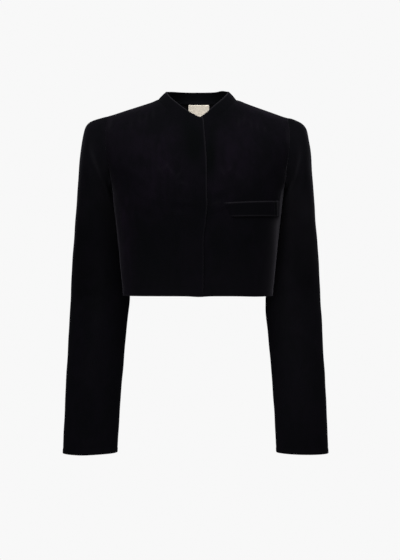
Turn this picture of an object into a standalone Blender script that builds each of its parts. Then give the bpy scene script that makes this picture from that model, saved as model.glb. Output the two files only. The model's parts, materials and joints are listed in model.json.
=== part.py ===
"""A cropped velvet jacket with a stand collar, in the hollow form it has when worn.

Metres, +Z up. The wearer faces -Y and +X is the wearer's left. The origin is the
middle of the neck, level with the inner ends of the shoulder seams. Sizes below are
in millimetres and become metres when a mesh is made.
"""

import math
from bisect import bisect_right
from collections import namedtuple

import bmesh
import bpy
from mathutils import Vector

MM = 0.001

# Driving dimensions.
WALL = 2.5
SEAM_GAP = 0.4
HEM_HEIGHT = -390.0
ARMPIT_NOTCH_HEIGHT = -165.0
UNDERARM_SAG = 22.0
NECK_HALF_WIDTH = 78.0
NECK_DROP_FRONT = 65.0
NECK_RISE_BACK = 3.0
NECK_ROUNDNESS = 1.3
SHOULDER_TIP_ACROSS = 184.0
SHOULDER_TIP_HEIGHT = -36.0
SHOULDER_SEAM_DEPTH_NECK = 5.0
SHOULDER_SEAM_DEPTH_TIP = 12.0
UNDERLAP_PAST_CENTRE = 22.0
CLOSING_STEP = 3.6
CLOSING_STEP_ENDS = (18.0, 44.0)
BICEP_HEIGHT = -205.0
CUFF_HEIGHT = -710.0
ROPE_HEIGHT = 2.0
CAP_START_HANDLE = 0.275
CAP_END_HANDLE = 0.70
WELT_ENDS = (57.0, 158.5)
WELT_TOP_ENDS = (-213.0, -206.0)
WELT_DEEP = 27.0
WELT_THICK = 2.2
LABEL_WIDE = 43.0
LABEL_LONG = 34.0
LABEL_THICK = 1.0
LABEL_TOP = 0.5
LABEL_OFF_CENTRE = 2.5
COLLAR_END_SLANT = 0.3

# The chest and the back roll over to the shoulder seam from this height up.
ROLL_START = -150.0
ROLL_POWER = 2.6
ROLL_ROUND = 0.62
NECK_RISE_EXTRA_FRONT = 13.0
NECK_RISE_EXTRA_BACK = 47.0

# Rows and columns crowd towards the shoulder, the neck and the side by these powers.
ROW_CROWDING = 1.6
NECK_CROWDING = 0.8
SHOULDER_CROWDING = 0.9
WELT_CROWDING = 1.3
CAP_CROWDING = 1.2

# How a sleeve leaves the armhole: sideways at the top and downward under the arm.
LEAVE_TOP_FORWARD = 0.35
LEAVE_UNDER_SIDEWAYS = 0.25
LEAVE_UNDER_FORWARD = 0.1
ARRIVE_STEP = 30.0

# Small steps for directions found by differences, and how near two lengths count as equal.
PROBE = 0.6
PROBE_SHARE = 0.01
NEAR = 0.01

# Two cloths at a seam share their rim direction when they bend apart less than this, as cosines.
SHARE_RIM_FROM = -0.2
SHARE_RIM_FULLY = 0.4

# Folds fade out over these many rows at the armhole and at the cuff.
FOLD_FADE_ROWS = (3, 2)

# How finely the panels are divided.
LOWER_ROWS = 9
UPPER_ROWS = 10
FRONT_COLUMNS = 14
BACK_HALF_COLUMNS = 11
SIDE_COLUMNS = 7
CAP_ROWS = 8
SLEEVE_ROWS = 19
SLEEVE_BACK_SEAM_ROWS = 3
NECK_COLUMNS = 8
BACK_NECK_COLUMNS = 6
COLLAR_ROWS = 4
WELT_ROWS = 3
WELT_COLUMNS = 16
LABEL_ROWS = 4
LABEL_COLUMNS = 5

# Level sections of the body. Depths run from the side line to the front and back.
Section = namedtuple("Section", "height half_width front_depth back_depth side_line squareness")
BODY_SECTIONS = (
    Section(-392, 146.5, 84, 92, -12, 2.15),
    Section(-326, 153.2, 94, 98, -9, 2.2),
    Section(-265, 160.3, 103, 102, -5, 2.3),
    Section(-200, 166.8, 110, 103, -2, 2.4),
    Section(-165, 173.5, 111, 103, 0, 2.5),
    Section(-130, 187, 107, 103, 0, 2.45),
    Section(-95, 197, 101, 103, 0, 2.4),
    Section(-36, 202, 88, 97, 0, 2.4),
    Section(40, 202, 80, 90, 0, 2.4),
)

# The edge of each body panel, seen from the front: side seam, then armhole.
Edge = namedtuple("Edge", "height across")
FRONT_SIDE_EDGE = (
    Edge(-392, 143.5),
    Edge(-326, 148),
    Edge(-236, 151.5),
    Edge(-200, 157.5),
    Edge(-165, 168.5),
    Edge(-125, 176.5),
    Edge(-92, 180.5),
    Edge(-60, 183.5),
    Edge(-36, 184),
)
BACK_SIDE_EDGE = (
    Edge(-392, 136),
    Edge(-326, 142),
    Edge(-236, 150),
    Edge(-200, 157.5),
    Edge(-165, 168.5),
    Edge(-125, 174.5),
    Edge(-92, 178.5),
    Edge(-60, 182.5),
    Edge(-36, 184),
)

# How far the closing edge of the right front passes the centre.
CLOSING_EDGE = (
    Edge(-392, 8.2),
    Edge(-310, 9.7),
    Edge(-245, 12.0),
    Edge(-205, 16.5),
    Edge(-135, 15.8),
    Edge(-75, 12.7),
    Edge(-60, 11.4),
)

# Level sections of a hanging sleeve, for the wearer's left. The tilt is how far the inner
# edge lies behind the middle, and the outer edge before it.
SleeveSection = namedtuple(
    "SleeveSection", "height inner_edge outer_edge middle_depth half_depth tilt"
)
SLEEVE_SECTIONS = (
    SleeveSection(-710, 161.0, 268.6, 25, 30.5, 0),
    SleeveSection(-600, 155.0, 264.8, 33, 32, 0),
    SleeveSection(-500, 147.4, 260.0, 40, 34, 0),
    SleeveSection(-400, 138.3, 254.4, 38.5, 36.5, 1),
    SleeveSection(-360, 142.0, 251.2, 35, 42, 7),
    SleeveSection(-320, 147.2, 247.6, 29.5, 48, 15),
    SleeveSection(-280, 154.0, 242.6, 23, 53.5, 22),
    SleeveSection(-240, 161.5, 238.4, 15, 58, 24),
    SleeveSection(-205, 167.0, 235.8, 9, 62, 17),
)

# The jacket hangs a little off its own centre: the body to the left, the sleeves to the right.
Drift = namedtuple("Drift", "height body")
BODY_DRIFT = (
    Drift(-710, 1.0),
    Drift(-500, 1.5),
    Drift(-390, 3.0),
    Drift(-90, 3.0),
    Drift(-36, 2.0),
    Drift(30, 2.4),
)
SLEEVE_DRIFT = -1.5
DRIFT_CHANGES = (172.0, 236.0)

# The stand of the collar from its base: place along it, from the centre front to the
# centre back, and how far its top edge lies inward, backward and upward.
Stand = namedtuple("Stand", "place inward backward upward")
COLLAR_STAND = (
    Stand(0.0, 3, 13, 20),
    Stand(0.2, 10, 12, 21.5),
    Stand(0.4, 14, 9, 19),
    Stand(0.55, 16, 4, 18),
    Stand(0.7, 14, -4, 20.5),
    Stand(0.85, 7, -7, 22),
    Stand(1.0, 0, -8, 22.5),
)

# The largest soft folds of the sleeves: middle, slant and size on the wearer's left.
Fold = namedtuple("Fold", "height angle slant length width rise")
SLEEVE_FOLDS = (
    Fold(-150, 95, -0.30, 42, 14, 3.0),
    Fold(-185, 70, -0.30, 36, 16, -2.0),
    Fold(-330, 60, -0.15, 70, 18, 2.0),
    Fold(-430, 110, 0.10, 80, 20, -2.0),
    Fold(-560, 75, 0.05, 110, 20, 1.8),
    Fold(-250, 255, 0.40, 50, 18, -2.5),
    Fold(-380, 285, -0.30, 60, 18, 2.2),
)

SLEEVE_MM_PER_DEGREE = 0.85

# Looks: edges bent more than this are shown sharp, then colour, roughness and sheen of each cloth.
SHARP_EDGE = math.radians(50)
Cloth = namedtuple("Cloth", "name colour roughness sheen")
VELVET = Cloth("black_velvet", (0.006, 0.0055, 0.0075), 0.85, 0.5)
LABEL_CLOTH = Cloth("cream_label", (0.66, 0.60, 0.50), 0.7, 0.1)


def read_off(rows, column, height):
    """One column of a table at a height, on a smooth curve through its rows."""
    keys = [row[0] for row in rows]
    values = [getattr(row, column) for row in rows]
    height = min(max(height, keys[0]), keys[-1])
    low = max(0, min(len(keys) - 2, bisect_right(keys, height) - 1))
    span = keys[low + 1] - keys[low]
    t = (height - keys[low]) / span

    def slope(i):
        before, after = max(i - 1, 0), min(i + 1, len(keys) - 1)
        return (values[after] - values[before]) / (keys[after] - keys[before])

    start, end = values[low], values[low + 1]
    leave, arrive = slope(low) * span, slope(low + 1) * span
    return (
        start * (2 * t**3 - 3 * t**2 + 1)
        + leave * (t**3 - 2 * t**2 + t)
        + end * (3 * t**2 - 2 * t**3)
        + arrive * (t**3 - t**2)
    )


def mix(a, b, t):
    """The value a part t of the way from a to b."""
    return a + (b - a) * t


def smooth_step(low, high, value):
    """0 below low, 1 above high, with soft ends."""
    t = min(max((value - low) / (high - low), 0.0), 1.0)
    return t * t * (3 - 2 * t)


def body_section(height):
    """The body's level section at a height."""
    return Section(height, *(read_off(BODY_SECTIONS, name, height) for name in Section._fields[1:]))


def shoulder_height(across, extra):
    """Height of the shoulder seam, and of its soft continuation over the neck."""
    slope = SHOULDER_TIP_HEIGHT / (SHOULDER_TIP_ACROSS - NECK_HALF_WIDTH)
    if across >= NECK_HALF_WIDTH:
        return slope * (across - NECK_HALF_WIDTH)
    inward = 1 - (across / NECK_HALF_WIDTH) ** 2
    return -slope * NECK_HALF_WIDTH / 2 * inward + extra * inward**2


def shoulder_depth(across):
    """Depth of the shoulder seam."""
    reach = (across - NECK_HALF_WIDTH) / (SHOULDER_TIP_ACROSS - NECK_HALF_WIDTH)
    return mix(SHOULDER_SEAM_DEPTH_NECK, SHOULDER_SEAM_DEPTH_TIP, max(reach, 0.0))


def body_depth(x, height, towards):
    """Depth of the body's cloth, towards -1 on the front and towards 1 on the back."""
    across = abs(x)
    section = body_section(height)
    reach = min(across / section.half_width, 1.0)
    fall = (1 - reach**section.squareness) ** (1 / section.squareness)
    deep = section.front_depth if towards < 0 else section.back_depth
    upright = section.side_line + towards * deep * fall
    extra = NECK_RISE_EXTRA_FRONT if towards < 0 else NECK_RISE_EXTRA_BACK
    climb = (height - ROLL_START) / (shoulder_height(across, extra) - ROLL_START)
    climb = min(max(climb, 0.0), 1.0)
    roll = 1 - (1 - climb**ROLL_POWER) ** ROLL_ROUND
    return mix(upright, shoulder_depth(across), roll)


def body_point(x, height, towards):
    """A point of the body's cloth."""
    return Vector((x, body_depth(x, height, towards), height))


def body_normal(x, height, towards):
    """The outward direction of the body's cloth."""
    level = body_point(x + PROBE, height, towards) - body_point(x - PROBE, height, towards)
    upright = body_point(x, height, towards) - body_point(x, height - 2 * PROBE, towards)
    normal = level.cross(upright).normalized()
    return normal if normal.y * towards >= 0 else -normal


def shoulder_normal(x):
    """The direction square to the shoulder seam, shared by the front and the back."""
    fall = -SHOULDER_TIP_HEIGHT / (SHOULDER_TIP_ACROSS - NECK_HALF_WIDTH)
    return Vector((math.copysign(fall, x), 0, 1)).normalized()


def closing_step(x):
    """How far the left front steps in to pass under the right front."""
    return CLOSING_STEP * (1 - smooth_step(*CLOSING_STEP_ENDS, x))


def neck_height_front(across):
    """Height of the front neckline at a distance from the centre."""
    reach = min(max(across, 0.0) / NECK_HALF_WIDTH, 1.0)
    return -NECK_DROP_FRONT * (1 - reach**NECK_ROUNDNESS) ** (1 / NECK_ROUNDNESS)


def neck_height_back(across):
    """Height of the back neckline at a distance from the centre."""
    return NECK_RISE_BACK * (1 - (across / NECK_HALF_WIDTH) ** 2)


def row_heights(top):
    """Heights of a panel's rows, from the hem to the top of one column."""
    lower = [mix(HEM_HEIGHT, ARMPIT_NOTCH_HEIGHT, r / LOWER_ROWS) for r in range(LOWER_ROWS)]
    upper = [
        mix(ARMPIT_NOTCH_HEIGHT, top, 1 - (1 - r / UPPER_ROWS) ** ROW_CROWDING)
        for r in range(UPPER_ROWS + 1)
    ]
    return lower + upper


def front_columns(start):
    """Places across the top of a front, with one at the inner end of the shoulder seam."""
    neck = [
        mix(start, NECK_HALF_WIDTH, (i / NECK_COLUMNS) ** NECK_CROWDING) for i in range(NECK_COLUMNS)
    ]
    rest = FRONT_COLUMNS - NECK_COLUMNS
    shoulder = [
        mix(NECK_HALF_WIDTH, SHOULDER_TIP_ACROSS, (i / rest) ** SHOULDER_CROWDING)
        for i in range(rest + 1)
    ]
    return neck + shoulder


def front_grid(past_centre):
    """Outer points and outward directions of a front, for the wearer's left.

    past_centre gives how far its closing edge passes the centre at a height.
    """
    edge_heights = row_heights(SHOULDER_TIP_HEIGHT)
    start = -past_centre(-NECK_DROP_FRONT)
    places = front_columns(start)
    shares = [(x - start) / (SHOULDER_TIP_ACROSS - start) for x in places]
    tops = [
        neck_height_front(x) if x < NECK_HALF_WIDTH else shoulder_height(x, 0) for x in places
    ]
    columns = [row_heights(top) for top in tops]
    points, normals = [], []
    for r, edge_height in enumerate(edge_heights):
        outer = read_off(FRONT_SIDE_EDGE, "across", edge_height)
        row, directions = [], []
        for share, heights in zip(shares, columns):
            height = heights[r]
            x = mix(-past_centre(height), outer, share)
            row.append(body_point(x, height, -1))
            last = r == len(edge_heights) - 1 and x >= NECK_HALF_WIDTH - NEAR
            directions.append(shoulder_normal(x) if last else body_normal(x, height, -1))
        points.append(row)
        normals.append(directions)
    return points, normals


def back_grid():
    """Outer points and outward directions of the back, from the right to the left."""
    edge_heights = row_heights(SHOULDER_TIP_HEIGHT)
    neck_share = NECK_HALF_WIDTH / SHOULDER_TIP_ACROSS
    half = [neck_share * i / BACK_NECK_COLUMNS for i in range(BACK_NECK_COLUMNS)]
    rest = BACK_HALF_COLUMNS - BACK_NECK_COLUMNS
    half += [mix(neck_share, 1, (i / rest) ** SHOULDER_CROWDING) for i in range(rest + 1)]
    shares = [-share for share in reversed(half[1:])] + half
    points, normals = [], []
    for r, edge_height in enumerate(edge_heights):
        outer = read_off(BACK_SIDE_EDGE, "across", edge_height)
        row, directions = [], []
        for share in shares:
            across = abs(share) * SHOULDER_TIP_ACROSS
            on_shoulder = across >= NECK_HALF_WIDTH - NEAR
            top = shoulder_height(across, 0) if on_shoulder else neck_height_back(across)
            height = row_heights(top)[r]
            x = share * outer
            row.append(body_point(x, height, 1))
            last = r == len(edge_heights) - 1 and on_shoulder
            directions.append(shoulder_normal(x) if last else body_normal(x, height, 1))
        points.append(row)
        normals.append(directions)
    return points, normals


def side_point(height, share):
    """A point of a side panel, share 0 at the front seam and 1 at the back seam."""
    section = body_section(height)
    power = 2 / section.squareness
    front = read_off(FRONT_SIDE_EDGE, "across", height) / section.half_width
    back = read_off(BACK_SIDE_EDGE, "across", height) / section.half_width
    turn = mix(math.asin(front ** (1 / power)), math.pi - math.asin(back ** (1 / power)), share)
    across = section.half_width * math.sin(turn) ** power
    towards = -1 if turn < math.pi / 2 else 1
    deep = section.front_depth if towards < 0 else section.back_depth
    depth = section.side_line + towards * deep * abs(math.cos(turn)) ** power
    return Vector((across, depth, height))


def side_grid():
    """Outer points and outward directions of a side panel, for the wearer's left."""
    points, normals = [], []
    for r in range(LOWER_ROWS + 1):
        row, directions = [], []
        for c in range(SIDE_COLUMNS + 1):
            share = c / SIDE_COLUMNS
            top = ARMPIT_NOTCH_HEIGHT - UNDERARM_SAG * math.sin(math.pi * share)
            height = mix(HEM_HEIGHT, top, r / LOWER_ROWS)
            row.append(side_point(height, share))
            before, after = side_point(height, share - PROBE_SHARE), side_point(height, share + PROBE_SHARE)
            below, above = side_point(height - PROBE, share), side_point(height + PROBE, share)
            directions.append((after - before).cross(above - below).normalized())
        points.append(row)
        normals.append(directions)
    return points, normals


def armhole_places():
    """Places round an armhole as panel, row and column: tip, front, underarm, back."""
    rows = range(LOWER_ROWS, LOWER_ROWS + UPPER_ROWS + 1)
    places = [("front", r, -1) for r in reversed(rows)]
    places += [("side", LOWER_ROWS, c) for c in range(1, SIDE_COLUMNS)]
    places += [("back", r, -1) for r in rows[:-1]]
    return places


def sleeve_point(height, angle):
    """A point of the hanging sleeve; angle 0 is outside, 90 degrees is in front."""
    inner = read_off(SLEEVE_SECTIONS, "inner_edge", height)
    outer = read_off(SLEEVE_SECTIONS, "outer_edge", height)
    middle = read_off(SLEEVE_SECTIONS, "middle_depth", height)
    deep = read_off(SLEEVE_SECTIONS, "half_depth", height)
    tilt = read_off(SLEEVE_SECTIONS, "tilt", height)
    x = (inner + outer) / 2 + (outer - inner) / 2 * math.cos(angle)
    return Vector((x, middle - deep * math.sin(angle) - tilt * math.cos(angle), height))


def fold_rise(height, angle):
    """How far the soft folds lift the sleeve's cloth at a place."""
    total = 0.0
    for fold in SLEEVE_FOLDS:
        up = height - fold.height
        round_sleeve = (math.degrees(angle) - fold.angle + 180) % 360 - 180
        across = round_sleeve * SLEEVE_MM_PER_DEGREE - fold.slant * up
        total += fold.rise * math.exp(-((up / fold.length) ** 2) - (across / fold.width) ** 2)
    return total


def sleeve_grid(ring):
    """Outer points and outward directions of a whole sleeve, for the wearer's left."""
    middle_y = sum(point.y for point, _ in ring) / len(ring)
    middle_z = (ring[0][0].z + ARMPIT_NOTCH_HEIGHT - UNDERARM_SAG) / 2
    angles = [math.atan2(middle_y - p.y, p.z - middle_z) % math.tau for p, _ in ring]
    angles[0] = 0.0
    columns = []
    for (point, cloth), angle in zip(ring, angles):
        low = sleeve_point(BICEP_HEIGHT, angle)
        downward = (1 - math.cos(angle)) / 2
        out = Vector((1, -LEAVE_TOP_FORWARD * math.sin(angle), 0))
        down = Vector((LEAVE_UNDER_SIDEWAYS, -LEAVE_UNDER_FORWARD * math.sin(angle), -1))
        leave = out.lerp(down, smooth_step(0, 1, downward)).normalized()
        arrive = (low - sleeve_point(BICEP_HEIGHT - ARRIVE_STEP, angle)).normalized()
        reach = (low - point).length
        rope = ROPE_HEIGHT * max(math.cos(angle), 0) ** 2
        start = point + cloth * rope
        handle_start = start + leave * reach * CAP_START_HANDLE
        handle_end = low + arrive * reach * CAP_END_HANDLE
        column = []
        for r in range(CAP_ROWS):
            t = (r / CAP_ROWS) ** CAP_CROWDING
            column.append(
                start * (1 - t) ** 3
                + handle_start * 3 * t * (1 - t) ** 2
                + handle_end * 3 * t * t * (1 - t)
                + low * t**3
            )
        for r in range(SLEEVE_ROWS + 1):
            height = mix(BICEP_HEIGHT, CUFF_HEIGHT, r / SLEEVE_ROWS)
            column.append(sleeve_point(height, angle))
        columns.append(column)
    rows = [list(row) for row in zip(*columns)]
    normals = ring_normals(rows)
    for r, row in enumerate(rows):
        fade = smooth_step(0, FOLD_FADE_ROWS[0], r)
        fade *= smooth_step(0, FOLD_FADE_ROWS[1], len(rows) - 1 - r)
        for c, point in enumerate(row):
            row[c] = point + normals[r][c] * fold_rise(point.z, angles[c]) * fade
    return rows, ring_normals(rows)


def ring_normals(rows):
    """Outward directions of a tube made of closed rings, by differences."""
    normals = []
    for r, row in enumerate(rows):
        above, below = rows[max(r - 1, 0)], rows[min(r + 1, len(rows) - 1)]
        count = len(row)
        normals.append(
            [
                (row[(c + 1) % count] - row[c - 1]).cross(below[c] - above[c]).normalized()
                for c in range(count)
            ]
        )
    return normals


def shared_direction(own, other):
    """A direction shared with the next piece where the two bend outward at their seam."""
    share = smooth_step(SHARE_RIM_FROM, SHARE_RIM_FULLY, own.dot(other))
    return own.lerp((own + other) / 2, share).normalized()


def collar_lift(own_x, place):
    """From the collar's base to its top edge, for the wearer's left."""
    inward = read_off(COLLAR_STAND, "inward", place) if own_x >= 0 else COLLAR_END_SLANT * own_x
    return Vector(
        (-inward, read_off(COLLAR_STAND, "backward", place), read_off(COLLAR_STAND, "upward", place))
    )


def collar_half(front, back):
    """Base points and lifts of half the collar, from its front end to the centre back."""
    back_top = back[0][-1]
    middle = len(back_top) // 2
    base = front[0][-1][: NECK_COLUMNS + 1] + back_top[middle : middle + BACK_NECK_COLUMNS][::-1]
    lengths = [0.0]
    for before, point in zip(base, base[1:]):
        past_centre = point.x <= 0 and point.y < 0
        lengths.append(0.0 if past_centre else lengths[-1] + (point - before).length)
    lifts = [collar_lift(p.x, length / lengths[-1]) for p, length in zip(base, lengths)]
    lifts[-1].x = 0.0
    return base, lifts


def collar_grid(over, under, back):
    """Outer points and outward directions of the collar, right end to left end."""
    right_base, right_lifts = (
        [Vector((-v.x, v.y, v.z)) for v in part] for part in collar_half(over, back)
    )
    left_base, left_lifts = collar_half(under, back)
    base = right_base + left_base[-2::-1]
    lifts = right_lifts + left_lifts[-2::-1]
    last = len(base) - 1
    points, normals = [], []
    for r in range(COLLAR_ROWS + 1):
        row = [point + lift * (r / COLLAR_ROWS) for point, lift in zip(base, lifts)]
        directions = []
        for c, point in enumerate(row):
            along = row[min(c + 1, last)] - row[max(c - 1, 0)]
            direction = along.cross(lifts[c]).normalized()
            away = Vector((point.x, point.y, 0))
            directions.append(direction if direction.dot(away) > 0 else -direction)
        points.append(row)
        normals.append(directions)
    return points, normals


def mirrored(grid):
    """The same grid for the wearer's right."""
    return tuple([[Vector((-v.x, v.y, v.z)) for v in row] for row in part] for part in grid)


def pulled_in(points, sides):
    """Draw the named sides of a grid back by half the seam gap."""
    points = [list(row) for row in points]
    pull = SEAM_GAP / 2
    for side in sides:
        if side in ("bottom", "top"):
            edge, next_row = (0, 1) if side == "bottom" else (-1, -2)
            for c, point in enumerate(points[edge]):
                points[edge][c] = point + (points[next_row][c] - point).normalized() * pull
        else:
            edge, next_column = (0, 1) if side == "start" else (-1, -2)
            for row in points:
                row[edge] = row[edge] + (row[next_column] - row[edge]).normalized() * pull
    return points


def hung(point):
    """A point moved by the jacket's drift off its centre."""
    body = read_off(BODY_DRIFT, "body", point.z)
    drift = mix(body, SLEEVE_DRIFT, smooth_step(*DRIFT_CHANGES, abs(point.x)))
    return point + Vector((drift, 0, 0))


def shell(name, points, normals, wall, material):
    """A closed wall of cloth: an outer grid, the same grid moved inward, and its rim."""
    rows, columns = len(points), len(points[0])
    mesh = bmesh.new()
    outer = [[mesh.verts.new(hung(p) * MM) for p in row] for row in points]
    inner = [
        [mesh.verts.new(hung(p - n * wall) * MM) for p, n in zip(row, directions)]
        for row, directions in zip(points, normals)
    ]
    for r in range(rows - 1):
        for c in range(columns - 1):
            corners = ((r, c), (r, c + 1), (r + 1, c + 1), (r + 1, c))
            mesh.faces.new([outer[i][j] for i, j in corners])
            mesh.faces.new([inner[i][j] for i, j in reversed(corners)])
    rim = [(0, c) for c in range(columns)] + [(r, columns - 1) for r in range(1, rows)]
    rim += [(rows - 1, c) for c in range(columns - 2, -1, -1)] + [(r, 0) for r in range(rows - 2, 0, -1)]
    for here, there in zip(rim, rim[1:] + rim[:1]):
        # Both pieces at a seam split its rim from the higher outer point, so that they match.
        high, low = sorted((here, there), key=lambda place: -outer[place[0]][place[1]].co.z)
        (i, j), (m, n) = high, low
        mesh.faces.new([outer[i][j], inner[m][n], outer[m][n]])
        mesh.faces.new([outer[i][j], inner[i][j], inner[m][n]])
    bmesh.ops.recalc_face_normals(mesh, faces=mesh.faces)
    data = bpy.data.meshes.new(name)
    mesh.to_mesh(data)
    mesh.free()
    data.shade_smooth()
    data.set_sharp_from_angle(angle=SHARP_EDGE)
    data.materials.append(material)
    piece = bpy.data.objects.new(name, data)
    bpy.context.collection.objects.link(piece)
    return piece


def cloth_material(cloth):
    """The plain material of a cloth."""
    material = bpy.data.materials.new(cloth.name)
    material.use_nodes = True
    surface = material.node_tree.nodes["Principled BSDF"]
    surface.inputs["Base Color"].default_value = (*cloth.colour, 1)
    surface.inputs["Roughness"].default_value = cloth.roughness
    surface.inputs["Sheen Weight"].default_value = cloth.sheen
    return material


def closing_edge(height):
    """How far the right front's closing edge passes the centre."""
    return read_off(CLOSING_EDGE, "across", height)


def underlap_edge(_height):
    """How far the left front's hidden edge passes the centre."""
    return UNDERLAP_PAST_CENTRE


def stepped_in(grid):
    """The left front, or the collar's left end, stepped in under the right one."""
    points, normals = grid
    moved = [
        [p - n * closing_step(p.x) if p.y < 0 else p for p, n in zip(row, directions)]
        for row, directions in zip(points, normals)
    ]
    return moved, normals


def join_at_armhole(fronts, side, back, sleeve):
    """Give the body and the sleeve one common rim direction where their seam bends outward."""
    grids = {"front": fronts[0], "side": side, "back": back}
    for k, (panel, r, c) in enumerate(armhole_places()):
        own, other = grids[panel][1][r][c], sleeve[1][0][k]
        shared = shared_direction(own, other)
        sleeve[1][0][k] = shared_direction(other, own)
        grids[panel][1][r][c] = shared
        if panel == "front":
            fronts[1][1][r][c] = shared
    side[1][-1][0] = fronts[0][1][LOWER_ROWS][-1]
    side[1][-1][-1] = back[1][LOWER_ROWS][-1]
    back[1][-1][-1] = fronts[0][1][-1][-1]
    for row in back[1][LOWER_ROWS:]:
        row[0] = Vector((-row[-1].x, row[-1].y, row[-1].z))


def piece_on_both_sides(name, grid, sides, cloth):
    """A panel for the wearer's left and its mirror image for the right."""
    points, normals = pulled_in(grid[0], sides), grid[1]
    shell(f"{name}_left", points, normals, WALL, cloth)
    shell(f"{name}_right", *mirrored((points, normals)), WALL, cloth)


def make_sleeves(sleeve, cloth):
    """Top sleeves and under sleeves."""
    count = len(sleeve[0][0])
    front_seam = UPPER_ROWS
    back_seam = UPPER_ROWS + SIDE_COLUMNS + SLEEVE_BACK_SEAM_ROWS
    spans = {
        "sleeve_under": list(range(front_seam, back_seam + 1)),
        "sleeve_top": list(range(back_seam, count)) + list(range(front_seam + 1)),
    }
    for name, columns in spans.items():
        grid = tuple([[row[c] for c in columns] for row in part] for part in sleeve)
        piece_on_both_sides(name, grid, ("bottom", "start", "end"), cloth)


def make_welt(cloth):
    """The welt of the chest pocket, made from the left front's points moved out."""
    points, normals = [], []
    for r in range(WELT_ROWS + 1):
        row, directions = [], []
        for c in range(WELT_COLUMNS + 1):
            share = 1 - (1 - c / WELT_COLUMNS) ** WELT_CROWDING
            x = mix(*WELT_ENDS, share)
            height = mix(*WELT_TOP_ENDS, share) - WELT_DEEP * (1 - r / WELT_ROWS)
            normal = body_normal(x, height, -1)
            row.append(body_point(x, height, -1) + normal * (SEAM_GAP + WELT_THICK))
            directions.append(normal)
        points.append(row)
        normals.append(directions)
    shell("pocket_welt", points, normals, WELT_THICK, cloth)


def make_label(cloth):
    """The bare label, made from the back's inner points moved in."""
    points, normals = [], []
    for r in range(LABEL_ROWS + 1):
        row, directions = [], []
        for c in range(LABEL_COLUMNS + 1):
            x = LABEL_OFF_CENTRE + LABEL_WIDE * (c / LABEL_COLUMNS - 0.5)
            height = LABEL_TOP - LABEL_LONG * (1 - r / LABEL_ROWS)
            normal = body_normal(x, height, 1)
            row.append(body_point(x, height, 1) - normal * (WALL + SEAM_GAP))
            directions.append(normal)
        points.append(row)
        normals.append(directions)
    shell("label", points, normals, LABEL_THICK, cloth)


def make_jacket():
    """All pieces of the jacket."""
    for item in list(bpy.data.objects):
        bpy.data.objects.remove(item, do_unlink=True)
    velvet = cloth_material(VELVET)
    woven = cloth_material(LABEL_CLOTH)
    over = front_grid(closing_edge)
    under = stepped_in(front_grid(underlap_edge))
    side = side_grid()
    back = back_grid()
    grids = {"front": under, "side": side, "back": back}
    ring = [(grids[name][0][r][c], grids[name][1][r][c]) for name, r, c in armhole_places()]
    sleeve = sleeve_grid(ring)
    join_at_armhole((under, over), side, back, sleeve)
    collar = collar_grid(over, under, back)
    shell("front_right", *mirrored((pulled_in(over[0], ("end", "top")), over[1])), WALL, velvet)
    shell("front_left", pulled_in(under[0], ("end", "top")), under[1], WALL, velvet)
    piece_on_both_sides("side", side, ("start", "end", "top"), velvet)
    shell("back", pulled_in(back[0], ("start", "end", "top")), back[1], WALL, velvet)
    make_sleeves(sleeve, velvet)
    shell("collar_stand", pulled_in(collar[0], ("bottom",)), collar[1], WALL, velvet)
    make_welt(velvet)
    make_label(woven)


make_jacket()
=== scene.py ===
# %% [markdown]
# # A cropped velvet jacket with a stand collar
# The jacket is filled out as if somebody wore it: wide padded shoulders, a shallow V between the ends
# of a low stand collar, a closing edge that hides its fasteners, one welt pocket and long straight
# sleeves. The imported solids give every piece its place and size. This lesson cuts each piece again,
# much finer, with rounded edges, creases, a lining and a pile.

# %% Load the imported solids
import json
import math
from collections import namedtuple

import bpy
import numpy as np
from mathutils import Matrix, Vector

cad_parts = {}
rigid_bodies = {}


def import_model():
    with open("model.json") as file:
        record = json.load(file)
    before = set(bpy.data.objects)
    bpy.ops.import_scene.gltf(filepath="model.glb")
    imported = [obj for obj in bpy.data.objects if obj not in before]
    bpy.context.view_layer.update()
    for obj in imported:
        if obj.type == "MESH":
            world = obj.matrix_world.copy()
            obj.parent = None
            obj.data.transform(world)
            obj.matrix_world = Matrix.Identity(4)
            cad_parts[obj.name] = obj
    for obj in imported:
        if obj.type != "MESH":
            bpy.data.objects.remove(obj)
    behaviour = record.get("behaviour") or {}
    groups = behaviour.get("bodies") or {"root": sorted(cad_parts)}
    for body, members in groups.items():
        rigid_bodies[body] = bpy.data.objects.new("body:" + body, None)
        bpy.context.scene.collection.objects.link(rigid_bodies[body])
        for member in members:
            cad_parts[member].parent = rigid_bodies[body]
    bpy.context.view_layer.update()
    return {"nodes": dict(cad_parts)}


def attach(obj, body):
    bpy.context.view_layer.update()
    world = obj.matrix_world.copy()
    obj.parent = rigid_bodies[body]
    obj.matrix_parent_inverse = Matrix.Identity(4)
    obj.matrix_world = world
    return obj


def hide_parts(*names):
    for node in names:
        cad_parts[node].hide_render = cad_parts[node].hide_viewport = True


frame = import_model()
scene = bpy.context.scene
print("nodes:", sorted(frame["nodes"]))

# %% [markdown]
# ## The camera
# The picture was taken straight on, from chest height and from some way off, so the shoulders hardly
# hide the neck. A long lens two metres away gives that. The picture is 560 pixels high and shows two
# millimetres in a pixel where the jacket's side seams are, which fixes the focal length.

# %% Camera at the height and distance of the picture
MM = 0.001
PIXELS_HIGH = 560
MM_PER_PIXEL = 2.0
CAMERA_PLACE = (0.0074, -2.1, -0.36)


def put_in_scene(name, data):
    """A new object in the scene."""
    thing = bpy.data.objects.new(name, data)
    scene.collection.objects.link(thing)
    return thing


camera = bpy.data.cameras.new("front_camera")
camera.lens = camera.sensor_width * -CAMERA_PLACE[1] / (PIXELS_HIGH * MM_PER_PIXEL * MM)
scene.camera = put_in_scene("front_camera", camera)
scene.camera.location = CAMERA_PLACE
scene.camera.rotation_euler = (math.radians(90), 0, 0)
print("focal length", round(camera.lens, 1))

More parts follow.
